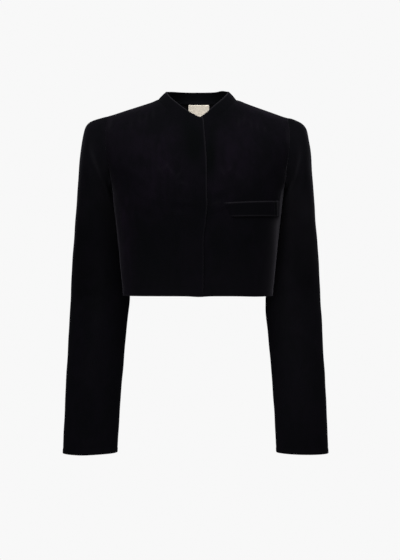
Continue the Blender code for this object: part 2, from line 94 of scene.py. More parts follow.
# %% [markdown]
# ## Floor and backdrop
# A studio for black clothes is a pale box: the background is almost white, and the cloth would drown
# in it if all that white also lit it evenly. So the floor and the sky look pale to the camera, but
# send less light to the cloth. The standard view transform keeps the pale tone as it is set.

# %% Pale floor and sky
BACKDROP = 0.938
AMBIENT = 0.30
FLOOR_HEIGHT = -1.05
FLOOR_REACH = 14.0
WHITE = (1, 1, 1, 1)
BLACK = (0, 0, 0, 1)
FLOOR_LOOKS = {
    "Base Color": BLACK, "Roughness": 1.0, "Specular IOR Level": 0.0, "Emission Color": WHITE
}
scene.view_settings.view_transform = "Standard"


def set_sockets(node, values):
    """Plain values for the named inputs of a node."""
    for socket, value in values.items():
        node.inputs[socket].default_value = value


def add_node(tree, kind, values=None, links=None, **settings):
    """A node with its settings, socket values and incoming links."""
    node = tree.nodes.new("ShaderNode" + kind)
    for key, value in settings.items():
        setattr(node, key, value)
    set_sockets(node, values or {})
    for socket, source in (links or {}).items():
        tree.links.new(source, node.inputs[socket])
    return node


def pale_to_camera(tree, strength_socket):
    """Full strength where the camera looks, and a weaker one for the light on the cloth."""
    seen = add_node(tree, "LightPath").outputs["Is Camera Ray"]
    choose = add_node(tree, "MapRange", {"To Min": AMBIENT, "To Max": BACKDROP}, {"Value": seen})
    tree.links.new(choose.outputs["Result"], strength_socket)


scene.world = bpy.data.worlds.new("studio")
scene.world.use_nodes = True
sky = scene.world.node_tree.nodes["Background"]
sky.inputs["Color"].default_value = WHITE
pale_to_camera(scene.world.node_tree, sky.inputs["Strength"])

floor_paint = bpy.data.materials.new("pale_floor")
floor_paint.use_nodes = True
floor_surface = floor_paint.node_tree.nodes["Principled BSDF"]
set_sockets(floor_surface, FLOOR_LOOKS)
pale_to_camera(floor_paint.node_tree, floor_surface.inputs["Emission Strength"])

floor_mesh = bpy.data.meshes.new("floor")
floor_corners = np.array([(-1, -1), (1, -1), (1, 1), (-1, 1)]) * FLOOR_REACH
floor_mesh.from_pydata([(x, y, FLOOR_HEIGHT) for x, y in floor_corners], [], [(0, 1, 2, 3)])
floor_mesh.materials.append(floor_paint)
put_in_scene("floor", floor_mesh)
print("floor at", FLOOR_HEIGHT)

# %% [markdown]
# ## Soft studio light
# The chest and shoulders are lighter than the lower body, so the main light hangs above and in front.
# A weaker large one beside the camera keeps the front from going flat black. Two tall lights behind
# the sides let the pile glow where the cloth turns away, and one at the back is there for views from
# behind. One point lamp would be simpler, but its hard shadows would look like creases.

# %% Five soft lights
Light = namedtuple("Light", "name place aim wide high watts")
LIGHTS = (
    Light("overhead", (0.05, -1.25, 1.5), (0, 0, -0.15), 1.8, 1.2, 48),
    Light("front_fill", (-1.0, -2.6, 0.3), (0, 0, -0.3), 1.6, 1.6, 19),
    Light("left_rim", (1.5, 0.55, -0.1), (0.1, 0, -0.3), 0.5, 1.8, 3.5),
    Light("right_rim", (-1.5, 0.55, -0.1), (-0.1, 0, -0.3), 0.5, 1.8, 1.2),
    Light("back_fill", (0.5, 2.4, 0.9), (0, 0, -0.3), 1.8, 1.4, 24),
)


def aimed_lamp(name, kind, place, aim, watts):
    """A lamp that looks from its place at its aim."""
    lamp = put_in_scene(name, bpy.data.lights.new(name, kind))
    lamp.location = place
    lamp.rotation_euler = (Vector(aim) - Vector(place)).to_track_quat("-Z", "Y").to_euler()
    lamp.data.energy = watts
    return lamp


for light in LIGHTS:
    lamp = aimed_lamp(light.name, "AREA", light.place, light.aim, light.watts)
    lamp.visible_camera = False
    lamp.data.shape = "RECTANGLE"
    lamp.data.size = light.wide
    lamp.data.size_y = light.high
print("lights:", [light.name for light in LIGHTS])

# %% [markdown]
# ## A light into the neck
# The collar shades the inside of the back neck, and yet the label there is the brightest thing in
# the picture. A studio would use a snoot, a lamp with a tube that leaves a small round beam. A spot
# with a narrow cone does the same and leaves the rest of the jacket as dark as it is.

# %% The snoot
SNOOT_PLACE = (0.007, -0.75, 0.55)
SNOOT_AIM = (0.005, 0.055, -0.01)
SNOOT_WATTS = 32
SNOOT_CONE = math.radians(7)
SNOOT_BLEND = 0.7
SNOOT_SIZE = 0.02
snoot = aimed_lamp("neck_snoot", "SPOT", SNOOT_PLACE, SNOOT_AIM, SNOOT_WATTS)
snoot.data.spot_size = SNOOT_CONE
snoot.data.spot_blend = SNOOT_BLEND
snoot.data.shadow_soft_size = SNOOT_SIZE
print("snoot:", snoot.data.energy, "W")

# %% [markdown]
# ## Sizes of the cut
# A pattern maker drafts a jacket from a few measures and joins them with smooth curves. The tables in
# this lesson hold such measures in millimetres, close to those of the solids. One function draws a
# smooth curve through a column of a table. It works on whole arrays, so a piece of cloth with
# thousands of points takes a blink.


# %% Tables and the curves through them
def table(row_kind, *rows):
    """Rows of numbers with named columns."""
    return tuple(row_kind(*row) for row in rows)


def read_off(rows, column, at):
    """One column of a table at any places along its first column."""
    keys = np.array([row[0] for row in rows], float)
    values = np.array([getattr(row, column) for row in rows], float)
    slopes = np.empty_like(values)
    slopes[1:-1] = (values[2:] - values[:-2]) / (keys[2:] - keys[:-2])
    slopes[[0, -1]] = (values[[1, -1]] - values[[0, -2]]) / (keys[[1, -1]] - keys[[0, -2]])
    at = np.clip(at, keys[0], keys[-1])
    low = np.clip(np.searchsorted(keys, at, side="right") - 1, 0, len(keys) - 2)
    span = keys[low + 1] - keys[low]
    t = (at - keys[low]) / span
    return (
        values[low] * (2 * t**3 - 3 * t**2 + 1)
        + slopes[low] * span * (t**3 - 2 * t**2 + t)
        + values[low + 1] * (3 * t**2 - 2 * t**3)
        + slopes[low + 1] * span * (t**3 - t**2)
    )


def mix(a, b, t):
    """The value a part t of the way from a to b."""
    return a + (b - a) * t


def smooth_step(low, high, value):
    """0 below low, 1 above high, with soft ends."""
    t = np.clip((value - low) / (high - low), 0, 1)
    return t * t * (3 - 2 * t)


print("a quarter along a smooth step:", float(smooth_step(0, 1, 0.25)))

# %% [markdown]
# ## The body's surface
# Fronts, sides and back lie on one rounded form. At each height it is a soft oval, and towards the
# shoulder seam the oval rolls over to meet the seam. A formula for its depth is better than a
# sculpted mesh here, because every panel, the pocket and the label can ask it for points.

# %% Sections and shoulder line
FRONT, BACK = -1, 1
Section = namedtuple("Section", "height half_width front_depth back_depth side_line squareness")
BODY_SECTIONS = table(
    Section, (-392, 148.4, 84, 92, -12, 2.15), (-326, 155.0, 94, 98, -9, 2.2),
    (-265, 161.3, 103, 102, -5, 2.3), (-200, 168.4, 110, 103, -2, 2.4), (-165, 173.5, 111, 103, 0, 2.5),
    (-130, 187, 107, 103, 0, 2.45), (-95, 197, 101, 103, 0, 2.4), (-36, 202, 88, 97, 0, 2.4),
    (40, 202, 80, 90, 0, 2.4),
)
NECK_HALF_WIDTH = 78.0
SHOULDER_TIP_ACROSS = 184.0
SHOULDER_TIP_HEIGHT = -36.0
SHOULDER_LONG = SHOULDER_TIP_ACROSS - NECK_HALF_WIDTH


def body_measure(column, height):
    """One measure of the body's oval."""
    return read_off(BODY_SECTIONS, column, height)


def shoulder_height(across, extra=0):
    """Height of the shoulder seam, and of its soft continuation over the neck."""
    slope = SHOULDER_TIP_HEIGHT / SHOULDER_LONG
    inward = 1 - np.minimum(across / NECK_HALF_WIDTH, 1) ** 2
    over_neck = -slope * NECK_HALF_WIDTH / 2 * inward + extra * inward**2
    return np.where(across >= NECK_HALF_WIDTH, slope * (across - NECK_HALF_WIDTH), over_neck)


print("half width of the chest:", float(body_measure("half_width", -200.0)))

# %% Depth of the body's cloth at any place
SHOULDER_SEAM_DEPTHS = (5.0, 12.0)
NECK_RISE_EXTRA = {FRONT: 13.0, BACK: 47.0}
ROLL_START = -150.0
ROLL_POWER = 2.6
ROLL_ROUND = 0.62


def body_depth(x, height, towards):
    """Depth of the body's cloth on the front or the back."""
    across = np.abs(x)
    power = body_measure("squareness", height)
    out = np.minimum(across / body_measure("half_width", height), 1)
    deep = body_measure("front_depth" if towards == FRONT else "back_depth", height)
    upright = body_measure("side_line", height) + towards * deep * (1 - out**power) ** (1 / power)
    top = shoulder_height(across, NECK_RISE_EXTRA[towards])
    climb = np.clip((height - ROLL_START) / (top - ROLL_START), 0, 1)
    roll = 1 - (1 - climb**ROLL_POWER) ** ROLL_ROUND
    seam = mix(*SHOULDER_SEAM_DEPTHS, np.maximum((across - NECK_HALF_WIDTH) / SHOULDER_LONG, 0))
    return mix(upright, seam, roll)


def body_points(x, height, towards):
    """Points of the body's cloth."""
    x, height = np.broadcast_arrays(x, height)
    return np.stack([x, body_depth(x, height, towards), height], axis=-1)


print("depth of the chest:", round(float(body_depth(60.0, -200.0, FRONT)), 1))

# %% [markdown]
# ## Places along a piece
# A folded edge of velvet is round, and that roundness is what makes a closing edge or a collar catch
# a thin line of light. A bevel would round every rim alike. Each piece here is a grid, and near its
# borders the grid lines crowd together so that the last millimetres can bend over where they should.

# %% Grid lines that crowd at the borders
EDGE_STEPS = np.array([0.0, 0.12, 0.4, 0.85, 1.5, 2.4, 3.6])


def places(count, length):
    """Places from 0 to 1 along a length in millimetres, with more of them at both ends."""
    steps = EDGE_STEPS / length
    middle = np.linspace(steps[-1], 1 - steps[-1], count)[1:-1]
    return np.concatenate([steps, middle, 1 - steps[::-1]])


def places_after(count, length):
    """The same, but with the lines crowded at the far end only."""
    return np.concatenate([[0.0], places(count, length)[len(EDGE_STEPS) - 1 :]])


print("lines across a 100 mm piece:", len(places(30, 100)))

# %% [markdown]
# ## Fronts, back and sides
# The fronts reach from the closing edge to the side seam and up to the armhole, the shoulder and the
# neck. The right one passes over the left one, whose hidden underlap is straight. The back is one
# piece, and a narrow side panel joins them under each arm. Cut out of one mesh, they would have ragged
# borders, so each gets a grid whose last lines lie on its seams. What has a left and a right is made
# for the wearer's left and mirrored for the right.

# %% Side seams and armholes
Edge = namedtuple("Edge", "height across")
SIDE_EDGES = {
    FRONT: table(
        Edge, (-392, 143.5), (-326, 148), (-236, 151.5), (-200, 157.5), (-165, 168.5), (-125, 176.5),
        (-92, 180.5), (-60, 183.5), (-36, 184),
    ),
    BACK: table(
        Edge, (-392, 136), (-326, 142), (-236, 150), (-200, 157.5), (-165, 168.5), (-125, 174.5),
        (-92, 178.5), (-60, 182.5), (-36, 184),
    ),
}


def side_edge(height, towards):
    """How far from the centre a front or the back ends."""
    return read_off(SIDE_EDGES[towards], "across", height)


print("a front ends at", float(side_edge(-200.0, FRONT)), "mm from the centre")

# %% Neckline and closing edges
NECK_DROP_FRONT = 65.0
NECK_RISE_BACK = 3.0
NECK_ROUNDNESS = 1.3
UNDERLAP_PAST_CENTRE = 22.0
CLOSING_EDGE = table(
    Edge, (-392, 10.8), (-310, 11.0), (-280, 11.2), (-250, 15.0), (-219, 18.0), (-200, 17.4),
    (-135, 17.0), (-98, 14.7), (-75, 12.0), (-66, 10.2), (-60, 8.8),
)


def neck_height_front(across):
    """Height of the front neckline."""
    along = np.clip(across / NECK_HALF_WIDTH, 0, 1)
    return -NECK_DROP_FRONT * (1 - along**NECK_ROUNDNESS) ** (1 / NECK_ROUNDNESS)


def neck_height_back(across):
    """Height of the back neckline."""
    return NECK_RISE_BACK * (1 - (across / NECK_HALF_WIDTH) ** 2)


def closing_edge(height):
    """How far the right front's closing edge passes the centre."""
    return read_off(CLOSING_EDGE, "across", height)


def underlap_edge(height):
    """How far the left front's hidden edge passes the centre."""
    return np.full_like(np.asarray(height, float), UNDERLAP_PAST_CENTRE)


print("the right front passes the centre by", float(closing_edge(-200.0)), "mm")

# %% Rows from the hem to the shoulder
HEM_HEIGHT = -391.4
ARMPIT_NOTCH_HEIGHT = -165.0
LOWER_ROWS, LOWER_LONG = 64, 225
UPPER_ROWS, UPPER_LONG = 52, 110


def row_heights(top):
    """Heights from the hem to the top of each column, one row for each place."""
    lower_places = places(LOWER_ROWS, LOWER_LONG)[: -len(EDGE_STEPS) + 1]
    lower = mix(HEM_HEIGHT, ARMPIT_NOTCH_HEIGHT, lower_places)
    upper = places_after(UPPER_ROWS, UPPER_LONG)
    top = np.atleast_1d(top)
    below = np.broadcast_to(lower[:, None], (len(lower), len(top)))
    return np.concatenate([below, mix(ARMPIT_NOTCH_HEIGHT, top[None, :], upper[:, None])])


print("rows of a front:", len(row_heights(SHOULDER_TIP_HEIGHT)))

# %% Grids of the fronts and the back
NECK_COLUMNS = 34
NECK_CROWDING = 1.4
BACK_NECK_COLUMNS = 26
SHOULDER_COLUMNS = 34
SHOULDER_SHARES = places_after(SHOULDER_COLUMNS, SHOULDER_LONG)
SHOULDER_PLACES = mix(NECK_HALF_WIDTH, SHOULDER_TIP_ACROSS, SHOULDER_SHARES)


def neck_start(past_centre):
    """Where the neckline starts at the front edge."""
    return -float(past_centre(np.array(-NECK_DROP_FRONT)))


def front_grid(past_centre):
    """Outer points of a front for the wearer's left, hem row first, closing edge column first."""
    start = neck_start(past_centre)
    neck = places(NECK_COLUMNS, NECK_HALF_WIDTH)[: -len(EDGE_STEPS)]
    neck = 1 - (1 - neck) ** NECK_CROWDING
    across = np.concatenate([mix(start, NECK_HALF_WIDTH, neck), SHOULDER_PLACES])
    share = (across - start) / (SHOULDER_TIP_ACROSS - start)
    on_neck = across < NECK_HALF_WIDTH
    height = row_heights(np.where(on_neck, neck_height_front(across), shoulder_height(across)))
    edge = -past_centre(np.minimum(height, -NECK_DROP_FRONT))
    outer = side_edge(row_heights(SHOULDER_TIP_HEIGHT), FRONT)
    return body_points(mix(edge, outer, share), height, FRONT)


def back_grid():
    """Outer points of the back, from the wearer's right to the left."""
    neck = np.linspace(0, NECK_HALF_WIDTH, BACK_NECK_COLUMNS)[:-1]
    half = np.concatenate([neck, SHOULDER_PLACES])
    x = np.concatenate([-half[:0:-1], half])
    across = np.abs(x)
    on_neck = across < NECK_HALF_WIDTH
    height = row_heights(np.where(on_neck, neck_height_back(across), shoulder_height(across)))
    outer = side_edge(row_heights(SHOULDER_TIP_HEIGHT), BACK)
    return body_points(x / SHOULDER_TIP_ACROSS * outer, height, BACK)


right_front_flat = front_grid(closing_edge)
left_front_flat = front_grid(underlap_edge)
back_flat = back_grid()
print("grids:", right_front_flat.shape[:2], left_front_flat.shape[:2], back_flat.shape[:2])

# %% Grid of a side panel
SIDE_COLUMNS, SIDE_WIDE = 26, 95
UNDERARM_SAG = 22.0


def underarm_height(share):
    """Height of the armhole's foot across the side panel."""
    return ARMPIT_NOTCH_HEIGHT - UNDERARM_SAG * np.sin(np.pi * share)


def side_points(height, share):
    """Points of a side panel for the wearer's left, share 0 at the front and 1 at the back."""
    half_width = body_measure("half_width", height)
    power = 2 / body_measure("squareness", height)
    front_turn, back_turn = (
        np.arcsin((side_edge(height, towards) / half_width) ** (1 / power)) for towards in (FRONT, BACK)
    )
    turn = mix(front_turn, np.pi - back_turn, share)
    front_deep, back_deep = (body_measure(name, height) for name in ("front_depth", "back_depth"))
    deep = np.where(turn < np.pi / 2, -front_deep, back_deep)
    depth = body_measure("side_line", height) + deep * np.abs(np.cos(turn)) ** power
    return np.stack([half_width * np.sin(turn) ** power, depth, height], axis=-1)


side_share = places(SIDE_COLUMNS, SIDE_WIDE)[None, :]
side_rows = places(LOWER_ROWS, LOWER_LONG)[:, None]
side_heights = mix(HEM_HEIGHT, underarm_height(side_share), side_rows)
side_flat = side_points(side_heights, np.broadcast_to(side_share, side_heights.shape))
print("side grid:", side_flat.shape[:2])

# %% [markdown]
# ## Sleeves
# A set-in sleeve has a cap that rises from the armhole over the shoulder's end and then becomes a
# tube. A cylinder pushed into the body would show a hard line there. Here every column leaves the
# armhole seam sideways and bends down into the tube along a cubic curve. The tube's sections are ovals
# that turn a little, so the sleeve hangs beside the body and not through it. Each sleeve is two pieces
# with a seam before and behind the arm.

# %% Armhole and hanging tube
ARMHOLE_CROWDING = 1.6
BICEP_HEIGHT = -205.0
CUFF_HEIGHT = -710.0
SleeveSection = namedtuple("SleeveSection", "height inner_edge outer_edge middle_depth half_depth tilt")
SLEEVE_SECTIONS = table(
    SleeveSection, (-710, 161.0, 268.6, 25, 30.5, 0), (-600, 155.0, 264.8, 33, 32, 0),
    (-500, 147.4, 260.0, 40, 34, 0), (-400, 138.3, 254.4, 38.5, 36.5, 1),
    (-360, 142.0, 251.2, 35, 42, 7), (-320, 147.2, 247.6, 29.5, 48, 15),
    (-280, 154.0, 242.6, 23, 53.5, 22), (-240, 161.5, 238.4, 15, 58, 24),
    (-205, 167.0, 235.8, 9, 62, 17),
)


def armhole_points(place):
    """Points round the armhole: 0 to 1 up its back, 1 to 2 down its front, 2 to 3 under the arm."""
    place = place % 3
    rise = np.where(place < 1, place, np.clip(2 - place, 0, 1))
    height = mix(ARMPIT_NOTCH_HEIGHT, SHOULDER_TIP_HEIGHT, 1 - (1 - rise) ** ARMHOLE_CROWDING)
    behind, before = (
        body_points(side_edge(height, towards), height, towards) for towards in (BACK, FRONT)
    )
    under = np.clip(place - 2, 0, 1)
    below = side_points(underarm_height(under), under)
    on_back, on_front = (place < 1)[:, None], (place < 2)[:, None]
    return np.where(on_back, behind, np.where(on_front, before, below))


def sleeve_points(height, angle):
    """Points of the hanging tube; angle 0 is outside, a quarter turn is in front."""
    inner, outer, middle, deep, tilt = (
        read_off(SLEEVE_SECTIONS, column, height) for column in SleeveSection._fields[1:]
    )
    x = (inner + outer) / 2 + (outer - inner) / 2 * np.cos(angle)
    depth = middle - deep * np.sin(angle) - tilt * np.cos(angle)
    return np.stack(np.broadcast_arrays(x, depth, height), axis=-1)


print("sleeve length:", round(SHOULDER_TIP_HEIGHT - CUFF_HEIGHT))

# %% The cap
CAP_ROWS, CAP_LONG = 40, 120
CAP_START_HANDLE = 0.28
CAP_END_HANDLE = 0.80
LEAVE_TOP_FORWARD = 0.35
LEAVE_TOP_DOWN = 0.18
LEAVE_UNDER_SIDEWAYS = 0.25
LEAVE_UNDER_FORWARD = 0.1
ARRIVE_STEP = 30.0


def unit(vectors):
    """Vectors brought to length one."""
    return vectors / np.maximum(np.linalg.norm(vectors, axis=-1, keepdims=True), 1e-9)


def sleeve_cap(ring, angle):
    """Points from the armhole to the tube, each column a cubic curve with a handle at both ends."""
    one, sine = np.ones_like(angle), np.sin(angle)
    low = sleeve_points(BICEP_HEIGHT * one, angle)
    out = np.stack([one, -LEAVE_TOP_FORWARD * sine, -LEAVE_TOP_DOWN * one], axis=-1)
    down = np.stack([LEAVE_UNDER_SIDEWAYS * one, -LEAVE_UNDER_FORWARD * sine, -one], axis=-1)
    leave = unit(mix(out, down, smooth_step(0, 1, (1 - np.cos(angle)) / 2)[:, None]))
    arrive = unit(low - sleeve_points((BICEP_HEIGHT - ARRIVE_STEP) * one, angle))
    span = np.linalg.norm(low - ring, axis=-1, keepdims=True)
    t = places(CAP_ROWS, CAP_LONG)[: -len(EDGE_STEPS), None, None]
    return (
        ring * (1 - t) ** 3
        + (ring + leave * span * CAP_START_HANDLE) * 3 * t * (1 - t) ** 2
        + (low + arrive * span * CAP_END_HANDLE) * 3 * t**2 * (1 - t)
        + low * t**3
    )


print("rows of a cap:", len(places(CAP_ROWS, CAP_LONG)) - len(EDGE_STEPS))

# %% Cap and tube as one grid
TUBE_ROWS, TUBE_LONG = 130, BICEP_HEIGHT - CUFF_HEIGHT
CUFF_TILT = 1.8
ARMHOLE_MIDDLE_DEPTH = 2.9
ARMHOLE_MIDDLE_HEIGHT = (SHOULDER_TIP_HEIGHT + ARMPIT_NOTCH_HEIGHT - UNDERARM_SAG) / 2
BACK_SEAM_PLACE = 0.3
SHOULDER_TIP_PLACE = 1.0
FRONT_SEAM_PLACE = 2.0
BACK_NOTCH_PLACE = 3.0
TOP_COLUMNS, TOP_WIDE = 76, 300
UNDER_COLUMNS, UNDER_WIDE = 46, 150


def sleeve_grid(first, last, columns, wide):
    """Outer points and angles of a sleeve piece between two places of the armhole, cap row first."""
    place = mix(first, last, places(columns, wide))
    for corner in (SHOULDER_TIP_PLACE, BACK_NOTCH_PLACE):
        if first < corner < last:
            place[np.abs(place - corner).argmin()] = corner
    ring = armhole_points(place)
    angle = np.unwrap(np.arctan2(ARMHOLE_MIDDLE_DEPTH - ring[:, 1], ring[:, 2] - ARMHOLE_MIDDLE_HEIGHT))
    height = mix(BICEP_HEIGHT, CUFF_HEIGHT, places_after(TUBE_ROWS, TUBE_LONG)[:, None])
    low_end = smooth_step(BICEP_HEIGHT, CUFF_HEIGHT, height)
    tube = sleeve_points(height + CUFF_TILT * low_end * (1 - np.cos(angle)) / 2, angle)
    return np.concatenate([sleeve_cap(ring, angle), tube]), angle


SleeveCut = namedtuple("SleeveCut", "name flat angle back_seam")
top_sleeve = sleeve_grid(BACK_SEAM_PLACE, FRONT_SEAM_PLACE, TOP_COLUMNS, TOP_WIDE)
under_end = BACK_NOTCH_PLACE + BACK_SEAM_PLACE
under_sleeve = sleeve_grid(FRONT_SEAM_PLACE, under_end, UNDER_COLUMNS, UNDER_WIDE)
SLEEVE_CUTS = (
    SleeveCut("top", *top_sleeve, "first_column"),
    SleeveCut("under", *under_sleeve, "last_column"),
)
print("sleeve grids:", [cut.flat.shape[:2] for cut in SLEEVE_CUTS])

# %% [markdown]
# ## Collar
# The collar is a low band that stands on the neckline and leans in towards the neck. Its two ends
# meet at the point of the V. It starts from the neck edges of the fronts and the back, so it can't
# drift away from them, and a table says how far its top edge leans and rises along the way.

# %% Grid of the collar
CLOSING_STEP = 3.6
CLOSING_STEP_ENDS = (18.0, 44.0)
COLLAR_END_SLANT = 0.6
COLLAR_FRONT_COLUMNS, COLLAR_FRONT_LONG = 60, 110
COLLAR_BACK_COLUMNS = 40
COLLAR_ROWS, COLLAR_HIGH = 16, 24
MIRROR = np.array([-1.0, 1.0, 1.0])
Stand = namedtuple("Stand", "place inward backward upward")
COLLAR_STAND = table(
    Stand, (0.0, 3, 13, 20), (0.2, 10, 12, 21.5), (0.4, 14, 9, 19), (0.55, 16, 4, 18),
    (0.7, 14, -4, 20.5), (0.85, 7, -7, 22), (1.0, 0, -8, 22.5),
)


def closing_step(x):
    """How far the left front steps in to pass under the right front."""
    return CLOSING_STEP * (1 - smooth_step(*CLOSING_STEP_ENDS, x))


def collar_half(past_centre, step):
    """Base points and lifts of half the collar, from its front end to the centre back."""
    run = places(COLLAR_FRONT_COLUMNS, COLLAR_FRONT_LONG)[: -len(EDGE_STEPS)]
    x = mix(neck_start(past_centre), NECK_HALF_WIDTH, 1 - (1 - run) ** NECK_CROWDING)
    front = body_points(x, neck_height_front(x), FRONT)
    front[:, 1] += step * closing_step(x)
    x = np.linspace(NECK_HALF_WIDTH, 0, COLLAR_BACK_COLUMNS)
    base = np.concatenate([front, body_points(x, neck_height_back(x), BACK)])
    steps = np.linalg.norm(np.diff(base, axis=0), axis=1)
    before_centre = (base[1:, 0] <= 0) & (base[1:, 1] < 0)
    length = np.concatenate([[0], np.cumsum(np.where(before_centre, 0, steps))])
    inward, backward, upward = (
        read_off(COLLAR_STAND, column, length / length[-1]) for column in Stand._fields[1:]
    )
    past = (base[:, 0] < 0) & (base[:, 1] < 0)
    inward = np.where(past, inward + COLLAR_END_SLANT * base[:, 0], inward)
    return base, np.stack([-inward, backward, upward], axis=-1)


right_half = [part * MIRROR for part in collar_half(closing_edge, 0)]
left_half = [part[-2::-1] for part in collar_half(underlap_edge, 1)]
collar_base, collar_lift = (np.concatenate(parts) for parts in zip(right_half, left_half))
collar_rise = places(COLLAR_ROWS, COLLAR_HIGH)[:, None]
collar_flat = collar_base + collar_lift * collar_rise[..., None]
print("collar grid:", collar_flat.shape[:2])

# %% [markdown]
# ## How the jacket hangs
# No jacket hangs quite even. This one's body sits a few millimetres off the centre, its right shoulder
# is higher, and corners are pulled here and there. Moving a piece by itself would open its seams. So
# one smooth shift is worked out for every place in space, and all pieces take it together.

# %% Drift, lift and small pulls
Drift = namedtuple("Drift", "height body")
BODY_DRIFT = table(
    Drift, (-710, 1.0), (-500, 1.6), (-430, 1.3), (-390, 3.2), (-90, 3.0), (-36, 2.0), (30, 2.4)
)
SLEEVE_DRIFT = -1.5
DRIFT_CHANGES = (172.0, 236.0)
SHOULDER_LIFT = 2.6
LIFT_ACROSS = (70.0, 180.0)
LIFT_HEIGHTS = (-210.0, -60.0)
FRONT_DEPTHS = (0.0, 40.0)
Pull = namedtuple("Pull", "across height wide high sideways upward front_only", defaults=(False,))
PULLS = table(
    Pull, (3, -50, 30, 25, 4.4, 0, True), (2, -391, 16, 30, 0, -1.3), (115, -391, 32, 40, 0, -1.1),
    (-228, -710, 28, 60, 0, -1.2), (50, 22, 9, 12, 0, 1.8), (-79, 2, 8, 12, 0, 1.5),
    (86, 0, 9, 12, 0, 1.0), (-184, -34, 13, 14, 0, 2.0), (-184, -42, 17, 30, 4.5, 0),
    (168, -164, 14, 16, 3.5, 0), (-170, -164, 14, 16, -1.8, 0), (189, -38, 12, 14, 0, 1.8),
    (188, -46, 17, 30, -3.0, 0), (-218, -47, 26, 18, -2.6, 0.6), (216, -54, 26, 20, 2.2, 0),
)


def bell(*ways):
    """A soft hill of height one, by the ways from its top counted in its own widths."""
    return np.exp(-sum(way**2 for way in ways))


def hung(points):
    """Points moved as the jacket hangs."""
    x, depth, height = points[..., 0], points[..., 1], points[..., 2]
    body = read_off(BODY_DRIFT, "body", height)
    drift = mix(body, SLEEVE_DRIFT, smooth_step(*DRIFT_CHANGES, np.abs(x)))
    lift = SHOULDER_LIFT * smooth_step(*LIFT_ACROSS, -x) * smooth_step(*LIFT_HEIGHTS, height)
    front = smooth_step(*FRONT_DEPTHS, -depth)
    for pull in PULLS:
        share = bell((x - pull.across) / pull.wide, (height - pull.height) / pull.high)
        share = share * front if pull.front_only else share
        drift = drift + pull.sideways * share
        lift = lift + pull.upward * share
    return points + np.stack([drift, 0 * drift, lift], axis=-1)


print("drift at the hem:", float(read_off(BODY_DRIFT, "body", HEM_HEIGHT)))

# %% [markdown]
# ## From a grid to a wall of cloth
# A bare sheet would look like paper. Real velvet with its lining is a wall a few millimetres thick.
# A Solidify modifier gives every rim square corners, so each grid is moved out and in along its own
# normals instead. At a folded edge both faces bend to the middle like a half circle, and at a sewn
# edge they meet on the seam's own line, where the next piece starts. The mesh is always closed.


# %% Normals and distances on a grid
def normals_of(grid, turned=False):
    """Unit normals of a grid by differences along its rows and columns."""
    normal = unit(np.cross(np.gradient(grid, axis=1), np.gradient(grid, axis=0)))
    return -normal if turned else normal


def run_lengths(grid, axis):
    """Distance of every point from the start of its row or column."""
    steps = np.linalg.norm(np.diff(grid, axis=axis), axis=2)
    start = np.zeros_like(steps.take([0], axis=axis))
    return np.concatenate([start, np.cumsum(steps, axis=axis)], axis=axis)


def edge_distances(grid):
    """Distance of every point from the first and last row and the first and last column."""
    up, across = run_lengths(grid, 0), run_lengths(grid, 1)
    return {
        "first_row": up,
        "last_row": up[-1:, :] - up,
        "first_column": across,
        "last_column": across[:, -1:] - across,
    }


print("largest height of the collar:", round(float(run_lengths(collar_flat, 0)[-1].max()), 1))

# %% Thickness of the cloth
WALL = 2.5
EDGE_ROUND = 1.5
SEAM_SWELL = 0.15


def half_circle(share):
    """Height of a quarter circle from 0 to 1."""
    return np.sqrt(1 - (1 - np.clip(share, 0, 1)) ** 2)


def wall_depths(grid, folded, wall):
    """How deep both faces lie under the grid: round at folded edges, thin at sewn ones."""
    fold, seam = np.ones(grid.shape[:2]), np.ones(grid.shape[:2])
    for edge, distance in edge_distances(grid).items():
        if edge in folded:
            fold = np.minimum(fold, distance / EDGE_ROUND)
        else:
            seam = np.minimum(seam, distance / EDGE_ROUND)
    bend = wall / 2 * (1 - half_circle(fold))
    outer = bend - SEAM_SWELL * smooth_step(0, 1, seam)
    inner = mix(outer, wall - bend, half_circle(seam))
    return outer[..., None], inner[..., None]


print("edges are rounded over", EDGE_ROUND, "mm")


# %% Faces, linings and flat patterns
def quads(index):
    """Corner numbers of the faces of a grid of point numbers."""
    corners = (index[:-1, :-1], index[:-1, 1:], index[1:, 1:], index[1:, :-1])
    return np.stack(corners, axis=-1).reshape(-1, 4)


def both_faces(outer, inner):
    """Values of the outer points, then of the inner points that aren't shared at the border."""
    width = outer.shape[2:]
    return np.concatenate([outer.reshape(-1, *width), inner[1:-1, 1:-1].reshape(-1, *width)])


def finish_wall(mesh, grid, faces, materials, facings):
    """Materials, smooth shading and a flat pattern in metres as texture coordinates."""
    for material in materials:
        mesh.materials.append(material)
    slot = np.zeros(len(faces), np.int32)
    lined = np.ones(grid.shape[:2], bool)
    for edge, wide in facings.items():
        lined = lined & (edge_distances(grid)[edge] >= wide)
    slot[len(faces) // 2 :] = lined[:-1, :-1].ravel() * (len(materials) - 1)
    mesh.polygons.foreach_set("material_index", slot)
    mesh.polygons.foreach_set("use_smooth", np.ones(len(faces), bool))
    flat = np.stack([run_lengths(grid, 1), run_lengths(grid, 0)], axis=-1) * MM
    layer = mesh.uv_layers.new(name="flat_pattern")
    layer.data.foreach_set("uv", both_faces(flat, flat)[faces.ravel()].astype(np.float32).ravel())
    mesh.update()


print("faces of the collar's outside:", len(quads(collar_flat[..., 0])))


